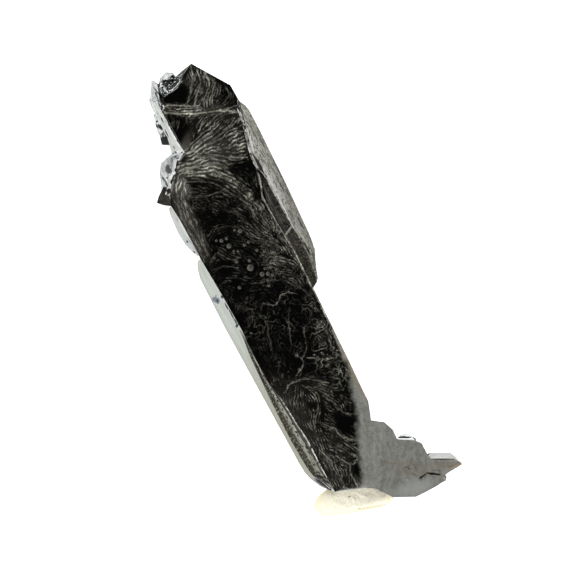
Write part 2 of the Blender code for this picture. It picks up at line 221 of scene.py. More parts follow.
@dataclass(frozen=True)
class BasalFinish:
    """The basal face: mirror black, growth lines pale as painted reflection, olive haze and the fan's satin
    grey.
    """

    name: str = "basal_face"
    black: Colour = (0.0006, 0.00055, 0.0005)
    haze: Colour = (0.015, 0.0135, 0.0097)
    # painted reflection: the pale beige of the growth lines, which are also raised on the mesh
    line: Colour = (0.43, 0.42, 0.345)
    satin: Colour = (0.158, 0.162, 0.143)
    satin_dark: Colour = (0.070, 0.071, 0.058)
    satin_light: Colour = (0.215, 0.228, 0.212)
    # stain: real stains, and painted shade in the sunk marks and pits
    stain: Colour = (0.085, 0.066, 0.034)
    # painted shade: near black in the fan's cracks and deepest pits
    crack: Colour = (0.004, 0.0035, 0.003)
    rust: Colour = (0.22, 0.155, 0.082)
    mirror: float = 0.10
    rough_line: float = 0.24
    rough_haze: float = 0.14
    rough_satin: float = 0.34
    index: float = 2.2

    def make(self) -> bpy.types.Material:
        """Builds the material. It reads the attributes line, haze, satin, arc, pale, rust, stain and crack.

        Returns:
            The material.
        """
        graph = Graph(self.name)
        line, haze, satin = (graph.attribute(name) for name in ("line", "haze", "satin"))
        cloud = graph.grain(EVEN, 0.5, 5.0)
        speck = graph.grain((1.0, 1.5, 1.0), 0.13, 4.0, 60.0)
        dull = graph.step(cloud * 0.35 + speck * 0.5 + graph.attribute("arc") * 0.15, 0.38, 0.62)
        sheen = graph.mix(dull, self.satin, self.satin_dark)
        sheen = graph.mix(graph.attribute("pale"), sheen, self.satin_light)
        # painted reflection: the growth lines also lighten the satin
        sheen = graph.mix(line * 0.8, sheen, self.satin_light)
        sheen = graph.mix(graph.attribute("rust"), sheen, self.rust)
        # painted shade in the cracks and pits, over the real stains
        sheen = graph.mix(graph.attribute("stain"), sheen, self.stain)
        sheen = graph.mix(graph.attribute("crack"), sheen, self.crack)
        colour = graph.mix(haze, self.black, self.haze)
        # painted reflection: the growth lines drawn pale over the black
        colour = graph.mix(line, colour, self.line)
        colour = graph.mix(satin, colour, sheen)
        rough = self.mirror + self.rough_line * line + self.rough_haze * haze
        rough = rough + self.rough_satin * satin * (1.0 - graph.attribute("crack"))
        normal = graph.bump(graph.grain(EVEN, 0.06, 3.0), 0.003, 0.4)
        return graph.finish(
            {
                "Base Color": colour,
                "Roughness": rough,
                "Normal": normal,
                "IOR": self.index,
                "Specular IOR Level": 0.5,
            }
        )


@dataclass(frozen=True)
class BevelFinish:
    """A metallic face of the body with striations along its length, stained in patches."""

    name: str
    light: Colour
    dark: Colour
    stain: Colour
    turn: float = 0.0
    rough: float = 0.3
    streak: float = 0.09
    mottle: float = 0.5
    stretch: Place = (1.0, 28.0, 28.0)
    metallic: float = 0.85

    def make(self) -> bpy.types.Material:
        """Builds the material.

        Returns:
            The material.
        """
        graph = Graph(self.name)
        streaks = graph.grain(self.stretch, self.streak, 4.0, self.turn)
        patches = graph.grain((1, 4, 2), 0.9, 5.0, self.turn)
        pits = graph.grain((1, 2, 1), 0.16, 3.0, self.turn)
        dull = graph.step(streaks * 0.55 + patches * self.mottle, 0.34, 0.74)
        colour = graph.mix(dull, self.light, self.dark)
        colour = graph.mix(graph.step(patches * 0.6 + pits * 0.5, 0.60, 0.74), colour, self.stain)
        normal = graph.bump(streaks * 0.7 + pits * 0.3, 0.02, 0.5)
        return graph.finish(
            {
                "Base Color": colour,
                "Metallic": self.metallic,
                "Roughness": self.rough + 0.2 * dull,
                "Normal": normal,
            }
        )


FLANK = BevelFinish(
    name="flank",
    light=(0.20, 0.20, 0.195),
    dark=(0.065, 0.065, 0.066),
    stain=(0.10, 0.085, 0.055),
    rough=0.28,
    streak=0.11,
    mottle=0.45,
    stretch=(6.0, 26.0, 1.0),
)


@dataclass(frozen=True)
class StripFinish:
    """A long face whose colour runs in bands across it, broken up by streaks, specks, marks and stains."""

    name: str
    bands: tuple[tuple[float, Colour], ...]
    speck: Colour = (0.05, 0.05, 0.04)
    dark: Colour = (0.02, 0.02, 0.018)
    deep: Colour = (0.006, 0.006, 0.006)
    pale: Colour = (0.42, 0.43, 0.42)
    specks: float = 0.3
    metallic: float = 0.8
    rough: float = 0.28
    gloss: float = 0.5
    streak: float = 0.14
    turn: float = 0.0
    waver: float = 0.25
    shade: float = 0.35
    glint: float = 0.0
    dim: float = 0.0
    far: Colour = (0.10, 0.10, 0.08)

    def make(self) -> bpy.types.Material:
        """Builds the material.

        It reads the attributes across, 0 at the left edge and 1 at the right, along, 0 at the low end and 1
        at the high one, and mark, above 0 on a dark mark and below it on a pale one.

        Returns:
            The material.
        """
        graph = Graph(self.name)
        streaks = graph.grain((1, 16, 16), self.streak, 4.0, self.turn)
        patches = graph.grain((1, 4, 3), 0.6, 5.0, self.turn)
        grit = graph.grain((1, 1.8, 1), 0.24, 3.0, self.turn)
        place = graph.attribute("across") + self.waver * (streaks * 0.6 + patches * 0.6 - 0.6)
        colour = graph.node("ShaderNodeValToRGB", {"stops": self.bands}, {"Fac": place}, out="Color")
        shaded = graph.step(streaks * 0.6 + patches * 0.4, 0.42, 0.62) * self.shade
        low_end = graph.step(1.0 - graph.attribute("along"), 0.2, 0.75) * self.dim
        colour = graph.mix(low_end, colour, self.far)
        colour = graph.mix(shaded, colour, self.speck)
        first = 0.70 - 0.2 * self.specks
        colour = graph.mix(graph.step(grit, first, first + 0.08), colour, self.speck)
        fine = graph.grain((1, 1.5, 1), 0.13, 3.0, self.turn + 20.0)
        colour = graph.mix(graph.step(fine, 0.54, 0.64) * self.glint, colour, self.pale)
        mark = graph.attribute("mark") * (0.4 + 1.2 * patches)
        colour = graph.mix(graph.step(mark, 0.1, 0.7), colour, self.dark)
        colour = graph.mix(graph.step(mark, 1.1, 1.5), colour, self.deep)
        colour = graph.mix(graph.step(0.0 - mark, 0.1, 0.8), colour, self.pale)
        normal = graph.bump(streaks * 0.6 + grit * 0.4, 0.018, 0.6)
        return graph.finish(
            {
                "Base Color": colour,
                "Metallic": self.metallic,
                "Roughness": self.rough + 0.25 * shaded,
                "Specular IOR Level": self.gloss,
                "Normal": normal,
            }
        )


@dataclass(frozen=True)
class PlainFinish:
    """A dielectric or half-metallic mineral surface in two mottled tones."""

    name: str
    light: Colour
    dark: Colour
    size: float = 0.5
    rough: float = 0.45
    metallic: float = 0.0
    depth: float = 0.02
    gloss: float = 0.5

    def make(self) -> bpy.types.Material:
        """Builds the material.

        Returns:
            The material.
        """
        graph = Graph(self.name)
        cloud = graph.grain(EVEN, self.size, 5.0)
        fine = graph.grain(EVEN, self.size * 0.14, 4.0)
        blend = graph.step(cloud * 0.7 + fine * 0.3, 0.36, 0.64)
        normal = graph.bump(fine * 0.6 + cloud * 0.4, self.depth, 0.7)
        return graph.finish(
            {
                "Base Color": graph.mix(blend, self.light, self.dark),
                "Metallic": self.metallic,
                "Roughness": self.rough + 0.15 * blend,
                "Specular IOR Level": self.gloss,
                "Normal": normal,
            }
        )


# Surfaces


def value_noise(x: Array, y: Array, size: float, seed: int) -> Array:
    """Random values from -1 to 1 on a square lattice, blended by the smooth curve 3t^2 - 2t^3 in between.

    Args:
        x: Positions across.
        y: Positions along.
        size: The side of a lattice square.
        seed: Which set of random values.

    Returns:
        The noise at each position.
    """
    table = np.random.default_rng(seed).uniform(-1, 1, (256, 256))
    u, v = x / size + 57.3, y / size + 91.7
    column, row = np.floor(u).astype(int), np.floor(v).astype(int)
    s, t = u - column, v - row
    s, t = s * s * (3 - 2 * s), t * t * (3 - 2 * t)
    near, far = column % 256, (column + 1) % 256
    low, high = row % 256, (row + 1) % 256
    return (table[low, near] * (1 - s) + table[low, far] * s) * (1 - t) + (
        table[high, near] * (1 - s) + table[high, far] * s
    ) * t


def fractal(x: Array, y: Array, size: float, seed: int, octaves: int = 3) -> Array:
    """Octaves of value noise, each half the size and 0.55 of the height of the one before.

    Args:
        x: Positions across.
        y: Positions along.
        size: The lattice square of the first octave.
        seed: Which set of random values.
        octaves: How many.

    Returns:
        The noise, between -1 and 1.
    """
    heights = 0.55 ** np.arange(octaves)
    layers = [h * value_noise(x, y, size / 2**k, seed + k) for k, h in enumerate(heights)]
    return sum(layers) / heights.sum()


def rise(low: float, high: float, value: Array) -> Array:
    """0 below low, 1 above high and 3t^2 - 2t^3 between them."""
    t = np.clip((value - low) / (high - low), 0, 1)
    return t * t * (3 - 2 * t)


def curve(path: tuple[Point, ...], pitch: float) -> Array:
    """A Catmull-Rom curve through given points.

    Args:
        path: The points.
        pitch: The distance between the curve's own points.

    Returns:
        The curve's points, one a row.
    """
    points = np.array(path, float)
    ends = np.vstack([2 * points[0] - points[1], points, 2 * points[-1] - points[-2]])
    runs = []
    for a, b, c, d in zip(ends, ends[1:], ends[2:], ends[3:]):
        count = max(2, int(np.hypot(*(c - b)[:2]) / pitch))
        t = np.linspace(0, 1, count, endpoint=False)[:, None]
        square, cube = (2 * a - 5 * b + 4 * c - d) * t**2, (3 * b - a - 3 * c + d) * t**3
        runs.append(0.5 * (2 * b + (c - a) * t + square + cube))
    return np.vstack([*runs, points[-1:]])


def make_piece(
    name: str,
    points: Array,
    faces: list[list[int]],
    finishes: list[bpy.types.Material],
    numbers: dict[str, Array] | None = None,
) -> bpy.types.Object:
    """Makes a smooth-shaded object at the origin from points in millimetres.

    Args:
        name: The piece's name.
        points: One point a row.
        faces: Point numbers of each face.
        finishes: Its materials.
        numbers: Numbers kept at each point, by attribute name.

    Returns:
        The object.
    """
    mesh = bpy.data.meshes.new(name)
    mesh.from_pydata((points * MM).tolist(), [], faces)
    for key, values in (numbers or {}).items():
        kept = mesh.attributes.new(key, "FLOAT", "POINT")
        kept.data.foreach_set("value", values.astype(np.float32).ravel())
    for finish in finishes:
        mesh.materials.append(finish)
    mesh.polygons.foreach_set("use_smooth", np.ones(len(mesh.polygons), bool))
    mesh.set_sharp_from_angle(angle=math.radians(SHARP))
    made = bpy.data.objects.new(name, mesh)
    bpy.context.scene.collection.objects.link(made)
    return made


def grid_cells(index: Array) -> Array:
    """The cells of a grid of point numbers, facing up where its rows go along +Y and its columns along +X."""
    return np.stack([index[:-1, :-1], index[:-1, 1:], index[1:, 1:], index[1:, :-1]], -1).reshape(-1, 4)


def slab(
    name: str,
    top: Array,
    base: float,
    finishes: list[bpy.types.Material],
    numbers: dict[str, Array] | None = None,
) -> bpy.types.Object:
    """A closed block under a surface: the grid above, walls straight down from its rim and a flat base.

    The base is a ladder of four-sided faces between its two long edges, closed by one face at each end.

    Args:
        name: The piece's name.
        top: Points of the surface, as rows by columns by 3, rows going along +Y and columns along +X.
        base: The height of the base.
        finishes: The surface's material, and one for the walls and the base where that differs.
        numbers: Numbers on the grid, by attribute name.

    Returns:
        The object.
    """
    rows, columns = top.shape[:2]
    index = np.arange(rows * columns).reshape(rows, columns)
    cells = grid_cells(index)
    rim = np.concatenate([index[0, :-1], index[:-1, -1], index[-1, :0:-1], index[:0:-1, 0]])
    foot = rows * columns + np.arange(len(rim))
    walls = np.stack([foot, np.roll(foot, -1), np.roll(rim, -1), rim], -1)
    right = foot[columns - 1 : columns - 1 + rows]
    left = np.concatenate([foot[:1], foot[: -rows : -1]])
    ladder = np.stack([left[1:-2], left[2:-1], right[2:-1], right[1:-2]], -1)
    near = [left[1], right[1], *foot[:columns][::-1]]
    far = [*foot[columns + rows - 2 : 2 * columns + rows - 2], left[-2], right[-2]][::-1]
    flat = top.reshape(-1, 3)
    under = flat[rim].copy()
    under[:, 2] = base
    values = {key: np.concatenate([v.ravel(), v.ravel()[rim]]) for key, v in (numbers or {}).items()}
    ends = [[int(i) for i in end] for end in (near, far)]
    faces = cells.tolist() + walls.tolist() + ladder.tolist() + ends
    made = make_piece(name, np.vstack([flat, under]), faces, finishes, values)
    below = (np.arange(len(faces)) >= len(cells)) * (len(finishes) - 1)
    made.data.polygons.foreach_set("material_index", below.astype(np.int32))
    return made


def settle(piece: bpy.types.Object, slot: str, *nodes: str) -> None:
    """Rides a finished piece on the specimen and reports it.

    Args:
        piece: The piece.
        slot: Its material slot; not used.
        *nodes: The solids that it replaces, where it does.
    """
    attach(piece, BODY)
    if nodes:
        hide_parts(*nodes)
    LOG.info("%s: %d points, %d faces", piece.name, len(piece.data.vertices), len(piece.data.polygons))


# Growth lines


class Plan:
    """A regular grid over the plan of the blade, in millimetres, on which fields are worked out."""

    def __init__(self, low: Point, high: Point, pitch: float) -> None:
        """Lays the grid out from its low corner.

        Args:
            low: The low corner.
            high: The high corner.
            pitch: The distance between its points.
        """
        self.low = low
        self.high = high
        self.pitch = pitch
        self.columns = int(round((high[0] - low[0]) / pitch)) + 1
        self.rows = int(round((high[1] - low[1]) / pitch)) + 1
        across, along = pitch * np.arange(self.columns), pitch * np.arange(self.rows)
        self.x, self.y = np.meshgrid(low[0] + across, low[1] + along)

    def read(self, values: Array, x: Array, y: Array) -> Array:
        """Reads a field anywhere, blended linearly between the grid's own points.

        Args:
            values: The field, a number for each point of the grid.
            x: Positions across.
            y: Positions along.

        Returns:
            The field there.
        """
        across = np.clip((x - self.low[0]) / self.pitch, 0, self.columns - 1.001)
        along = np.clip((y - self.low[1]) / self.pitch, 0, self.rows - 1.001)
        i, j = across.astype(np.int32), along.astype(np.int32)
        s, t = across - i, along - j
        return (values[j, i] * (1 - s) + values[j, i + 1] * s) * (1 - t) + (
            values[j + 1, i] * (1 - s) + values[j + 1, i + 1] * s
        ) * t


def oval(x: Array, y: Array, centre: Point, half: Point, turn: float) -> Array:
    """The square of the distance from a centre, counted in half sizes along axes turned about it.

    Args:
        x: Positions across.
        y: Positions along.
        centre: The oval's centre.
        half: Its half sizes.
        turn: Degrees from X to its first axis.

    Returns:
        0 at the centre and 1 on the oval.
    """
    slope = math.radians(turn)
    dx, dy = x - centre[0], y - centre[1]
    across = (dx * math.cos(slope) + dy * math.sin(slope)) / half[0]
    along = (dy * math.cos(slope) - dx * math.sin(slope)) / half[1]
    return across**2 + along**2


@dataclass(frozen=True)
class Mark:
    """A soft spot or dash on a face, dark where its tone is above 0 and pale below it."""

    centre: Point
    half: Point
    turn: float = 0.0
    tone: float = 1.0

    def read(self, x: Array, y: Array) -> Array:
        """tone exp(-r^4), with r the distance from the centre in half sizes along the mark's turned axes."""
        return self.tone * np.exp(-(oval(x, y, self.centre, self.half, self.turn) ** 2))


def marked(marks: tuple[Mark, ...], x: Array, y: Array) -> Array:
    """The marks' tones added up, on positions that waver by 0.05 mm.

    Args:
        marks: The marks.
        x: Positions across.
        y: Positions along.

    Returns:
        The tone at each position.
    """
    across = x + 0.05 * fractal(x, y, 0.2, 301)
    along = y + 0.05 * fractal(x, y, 0.2, 305)
    return sum((mark.read(across, along) for mark in marks), np.zeros_like(x))


@dataclass(frozen=True)
class Ridge:
    """A growth line that stands out, or that only leads the fine ones where its glow is 0."""

    path: tuple[Point, ...]
    glow: float = 0.0
    width: float = 0.11
    waver: float = 0.11


@dataclass(frozen=True)
class Zone:
    """A soft oval of the basal face: how strong its led lines, haze, maze of worms and stipple are."""

    centre: Point
    half: Point
    turn: float
    lines: float
    haze: float
    maze: float = 0.0
    stipple: float = 0.0

    def share(self, x: Array, y: Array) -> Array:
        """3 exp(-r^3), with r the distance from the centre in half sizes along the oval's turned axes."""
        return 3 * np.exp(-(oval(x, y, self.centre, self.half, self.turn) ** 1.5))


CAP_RIDGES = (
    Ridge(((1.2, 24.1), (0.8, 22.8), (-0.2, 21.5), (-0.9, 20.8)), 0.5),
    Ridge(((1.6, 23.5), (1.4, 22.3), (0.4, 21.2), (-0.2, 20.4)), 0.6),
    Ridge(((2.2, 22.9), (2.0, 21.5), (1.0, 20.7), (0.5, 19.6)), 0.5),
    Ridge(((2.8, 22.0), (2.2, 21.0), (1.5, 20.2), (1.4, 19.3)), 0.3),
    Ridge(((3.4, 20.6), (3.3, 19.8), (2.4, 19.3), (1.7, 19.1)), 0.35, 0.09),
    Ridge(((-3.4, 21.2), (-1.4, 20.1), (0.0, 19.5), (1.7, 18.9), (3.4, 17.9)), 0.8, 0.13),
    Ridge(((-2.8, 21.7), (-1.5, 21.1), (0.1, 20.2)), 0.5),
    Ridge(((-2.7, 20.9), (-2.9, 19.9), (-3.3, 19.1)), 0.25, 0.08),
    Ridge(((-2.2, 20.5), (-2.2, 19.7), (-2.9, 19.0)), 0.25, 0.08),
    Ridge(((-1.3, 19.9), (-1.7, 19.3), (-2.3, 19.0)), 0.2, 0.08),
)
STREAK_RIDGES = (
    Ridge(((-3.0, 16.6), (-1.5, 17.5), (-0.3, 18.4), (0.7, 19.2))),
    Ridge(((-2.9, 16.5), (-1.1, 17.0), (0.6, 17.6), (2.3, 18.4)), 0.3),
    Ridge(((-3.0, 16.4), (-1.0, 16.4), (1.0, 16.7), (3.3, 17.3)), 0.45, 0.1),
    Ridge(((-3.1, 16.5), (-1.7, 16.3), (0.1, 16.3), (1.5, 16.3), (3.0, 16.0)), 0.5, 0.12),
    Ridge(((-3.0, 16.2), (-1.3, 15.8), (0.6, 15.3), (2.6, 14.5)), 0.3),
    Ridge(((-3.0, 15.8), (-1.0, 15.3), (0.7, 14.2), (2.2, 13.4)), 0.45),
    Ridge(((-4.0, 15.6), (-2.7, 15.3), (-1.6, 15.3), (-0.7, 14.9)), 0.5, 0.14),
    Ridge(((-4.6, 15.2), (-3.4, 15.0), (-1.9, 14.6), (-0.9, 14.2)), 0.5, 0.14),
    Ridge(
        ((-4.5, 15.1), (-1.5, 13.7), (-0.8, 12.7), (0.2, 11.5), (0.9, 9.4), (1.4, 6.8), (2.0, 4.0)),
        0.52, 0.4, 0.3,
    ),
    Ridge(((-4.4, 14.0), (-3.1, 13.4), (-1.9, 12.5), (-0.9, 11.1), (0.0, 9.5), (0.4, 7.4)), 0.35),
    Ridge(((-4.8, 14.9), (-5.6, 13.7), (-6.1, 12.3), (-6.3, 10.2), (-6.2, 8.0), (-6.3, 6.0)), 0.3, 0.16),
    Ridge(((-4.4, 14.4), (-5.2, 12.9), (-5.7, 10.9), (-5.7, 8.6), (-5.7, 6.4)), 0.3, 0.14),
    Ridge(
        (
            (2.72, 12.3), (2.20, 10.4), (1.80, 9.2), (1.84, 8.0), (1.98, 5.6), (2.10, 4.4), (2.22, 2.5),
            (2.2, -1.0),
        ),
        1.0, 0.075, 0.02,
    ),
)
MIDDLE_RIDGES = (
    Ridge(((-4.7, 12.4), (-3.3, 11.8), (-1.5, 11.6)), 0.3),
    Ridge(((-4.5, 11.5), (-3.0, 10.4), (-1.4, 9.0), (-0.6, 7.3), (0.0, 5.7)), 0.15),
    Ridge(((-4.9, 8.1), (-3.6, 8.4), (-2.0, 7.8), (-0.9, 6.1)), 0.2),
    Ridge(((-5.8, 5.7), (-4.9, 6.2), (-4.3, 5.6), (-3.7, 4.9), (-2.9, 4.8)), 0.25, 0.09),
    Ridge(((-5.6, 4.8), (-4.9, 4.8), (-4.2, 4.4), (-3.6, 4.0)), 0.35, 0.09),
    Ridge(((-2.5, 5.4), (-1.7, 4.1), (-1.6, 3.2), (-2.1, 2.6), (-2.9, 2.5), (-3.4, 3.2)), 0.15, 0.09),
    Ridge(((-0.9, 6.2), (0.2, 4.9), (1.4, 3.5), (2.3, 1.7)), 0.15),
    Ridge(((-1.8, 3.7), (-0.4, 3.1), (1.1, 1.6), (2.1, 0.3)), 0.1),
    Ridge(((-3.2, 2.0), (-2.0, 1.6), (-0.3, 1.0), (1.1, -0.6), (1.8, -1.9)), 0.2),
    Ridge(((-5.3, 1.7), (-5.6, 0.8), (-5.5, -0.4)), 0.1, 0.08),
    Ridge(((-4.5, 0.0), (-5.3, -2.1), (-5.7, -3.6)), 0.15, 0.09),
    Ridge(((-2.7, -1.0), (-3.6, -2.9), (-4.2, -4.9)), 0.2, 0.09),
    Ridge(((-0.6, -1.7), (-1.6, -3.4), (-2.2, -5.3)), 0.2, 0.09),
    Ridge(((-0.4, -4.3), (-0.9, -6.0), (-1.9, -7.1)), 0.3, 0.09),
    Ridge(((-2.8, -0.4), (-1.8, -1.0), (-0.9, -0.4), (-0.1, -0.5), (0.6, -1.0)), 0.42, 0.085, 0.2),
    Ridge(((-1.3, -7.2), (-0.3, -7.8), (0.9, -8.3), (1.6, -8.0)), 0.5, 0.09, 0.2),
    Ridge(((1.2, -4.4), (1.5, -5.5), (1.4, -6.8), (1.2, -8.2)), 0.3, 0.09, 0.2),
    Ridge(((-2.2, -6.4), (-1.8, -7.4), (-2.8, -8.0), (-3.4, -8.7)), 0.34, 0.09, 0.2),
    Ridge(((-5.2, -4.6), (-5.3, -6.3), (-5.0, -8.4))),
    Ridge(((2.24, -1.15), (2.21, -3.2), (2.16, -5.4)), 1.2, 0.075, 0.01),
)
LOWER_RIDGES = (
    Ridge(((-5.0, -9.2), (-4.0, -8.8), (-3.0, -8.8), (-1.7, -9.5), (-0.5, -10.4)), 0.45, 0.12, 0.2),
    Ridge(
        ((-3.0, -9.5), (-1.8, -10.5), (-1.3, -11.7), (-0.9, -13.0), (-0.5, -13.8), (0.7, -14.5)),
        0.4, 0.1, 0.2,
    ),
    Ridge(((2.1, -9.7), (1.4, -10.5), (0.4, -10.9), (-0.6, -10.7)), 0.34, 0.1, 0.2),
    Ridge(((-4.6, -9.4), (-5.1, -11.7), (-5.1, -14.5), (-5.1, -17.9), (-5.0, -20.0)), 0.2),
    Ridge(((-3.2, -9.3), (-3.8, -11.3), (-4.1, -13.9), (-4.1, -17.2), (-4.3, -20.4)), 0.2),
    Ridge(((-2.3, -10.8), (-2.7, -12.3), (-3.7, -13.5), (-4.1, -15.5), (-3.9, -18.5), (-3.8, -20.5)), 0.3),
    Ridge(((-3.0, -13.8), (-2.2, -14.6), (-1.7, -15.9), (-0.5, -16.8)), 0.4, 0.1, 0.2),
    Ridge(((-3.3, -16.1), (-2.3, -16.8), (-1.7, -17.9), (-0.9, -18.6)), 0.4, 0.1, 0.2),
    Ridge(((-3.2, -17.2), (-2.7, -18.1), (-2.1, -18.7), (-1.3, -18.4)), 0.42, 0.1, 0.2),
    Ridge(((-2.2, -18.6), (-2.6, -19.3), (-2.6, -20.2), (-2.6, -21.0)), 0.4),
    Ridge(((-2.1, -11.5), (-1.4, -12.8), (-0.9, -14.4), (-0.1, -15.9)), 0.1),
)
ZONES = (
    Zone((-1.3, 22.0), (1.7, 0.9), -18, 0.0, 0.0),
    Zone((-0.1, 21.3), (0.75, 0.8), -26, 0.1, 0.0),
    Zone((2.9, 22.1), (2.0, 0.35), -60, 0.1, 0.0),
    Zone((3.2, 19.5), (0.9, 1.0), -26, 0.35, 0.0),
    Zone((1.2, 21.4), (1.2, 2.1), -26, 0.85, 0.5, 0.35),
    Zone((0.5, 19.6), (3.4, 0.6), -26, 1.0, 0.8, 0.4),
    Zone((-2.7, 18.5), (0.8, 0.9), -26, 0.03, 0.0),
    Zone((-3.62, 16.05), (0.30, 0.22), 10, 0.0, 0.0),
    Zone((-5.30, 14.50), (0.26, 0.20), 40, 0.0, 0.0),
    Zone((-2.7, 17.5), (0.36, 0.95), -44, 0.05, 2.0),
    Zone((-3.0, 20.0), (0.8, 0.8), 0, 0.4, 0.0),
    Zone((1.2, 17.6), (2.4, 1.3), -26, 0.85, 0.35, 0.1),
    Zone((-0.3, 15.7), (3.0, 0.9), -16, 0.95, 0.9, 0.15),
    Zone((-2.5, 14.8), (2.1, 0.9), -21, 0.95, 1.1, 0.25),
    Zone((-5.2, 13.8), (0.6, 1.1), 26, 0.95, 1.9, 0.3),
    Zone((-5.8, 10.2), (0.6, 3.4), 0, 0.5, 1.1, 0.15),
    Zone((1.3, 10.5), (0.9, 2.8), -4, 0.28, 0.0, 0.0, 0.1),
    Zone((1.4, 7.7), (0.35, 1.7), 7, 0.0, 0.0),
    Zone((-0.3, 11.9), (2.0, 0.5), -60, 0.75, 0.45, 0.3, 0.2),
    Zone((0.8, 8.3), (0.6, 2.4), 12, 0.75, 0.45, 0.3, 0.5),
    Zone((-2.4, 11.5), (1.7, 1.2), -26, 0.40, 0.05, 0.15, 0.2),
    Zone((-3.1, 8.9), (1.9, 1.2), -26, 0.1, 0.02, 0.1, 0.35),
    Zone((-0.5, 7.5), (1.2, 2.0), -6, 0.35, 0.05, 0.1, 0.4),
    Zone((-3.4, 5.3), (2.0, 3.4), -6, 0.22, 0.0, 0.03, 0.08),
    Zone((1.1, 3.4), (1.6, 2.6), 2, 0.6, 0.1, 0.35, 0.5),
    Zone((-3.8, 1.0), (2.4, 1.6), 2, 0.15, 0.0, 0.24, 0.15),
    Zone((-4.8, -4.0), (1.1, 5.2), 2, 0.16, 0.0, 0.26, 0.12),
    Zone((-1.9, -3.2), (2.4, 3.2), 2, 0.08, 0.0, 0.24, 0.08),
    Zone((1.2, -7.0), (1.3, 3.2), -4, 0.32, 0.10, 0.60, 0.1),
    Zone((-5.0, -12.9), (1.2, 4.8), 0, 0.42, 0.7),
    Zone((-3.6, -17.7), (1.4, 2.8), -6, 0.55, 0.4),
    Zone((-1.9, -10.7), (2.2, 1.0), -46, 0.7, 0.25, 0.1),
    Zone((-0.4, -12.6), (1.6, 1.0), -56, 0.5, 0.05),
    Zone((-0.6, -14.7), (0.9, 1.1), -26, 0.05, 0.0),
    Zone((-1.87, -19.35), (0.46, 0.58), 0, 0.0, 0.0),
    Zone((-2.45, -20.9), (0.7, 0.65), 0, 0.6, 0.4),
    Zone((-2.9, -13.1), (1.0, 1.4), -6, 0.5, 0.1),
    Zone((-1.9, -17.4), (1.3, 1.3), -40, 0.6, 0.15),
)
# Hillocks: across, along and radius
HILLOCKS = (
    (-2.18, 7.51, 0.13), (-1.73, 7.18, 0.22), (-3.27, 7.11, 0.16), (-3.81, 7.15, 0.20), (-4.26, 7.37, 0.13),
    (-3.38, 6.32, 0.25), (-1.95, 5.72, 0.17), (-1.46, 5.81, 0.15), (-3.16, 5.65, 0.13), (-2.81, 5.46, 0.13),
    (-4.61, 6.21, 0.10), (-1.07, 4.70, 0.16), (-0.43, 4.29, 0.15), (-0.72, 4.05, 0.12), (-5.22, 5.90, 0.11),
    (-3.38, 4.59, 0.18), (-2.20, 4.11, 0.17), (-2.42, 3.44, 0.34), (-1.66, 2.34, 0.24), (-1.12, 2.12, 0.20),
    (-0.76, 1.80, 0.16), (-1.19, 2.70, 0.12), (-0.56, 2.57, 0.17), (-0.18, 2.17, 0.14), (-1.41, 1.54, 0.15),
    (-1.57, 1.00, 0.15), (-4.30, 2.14, 0.17),
)


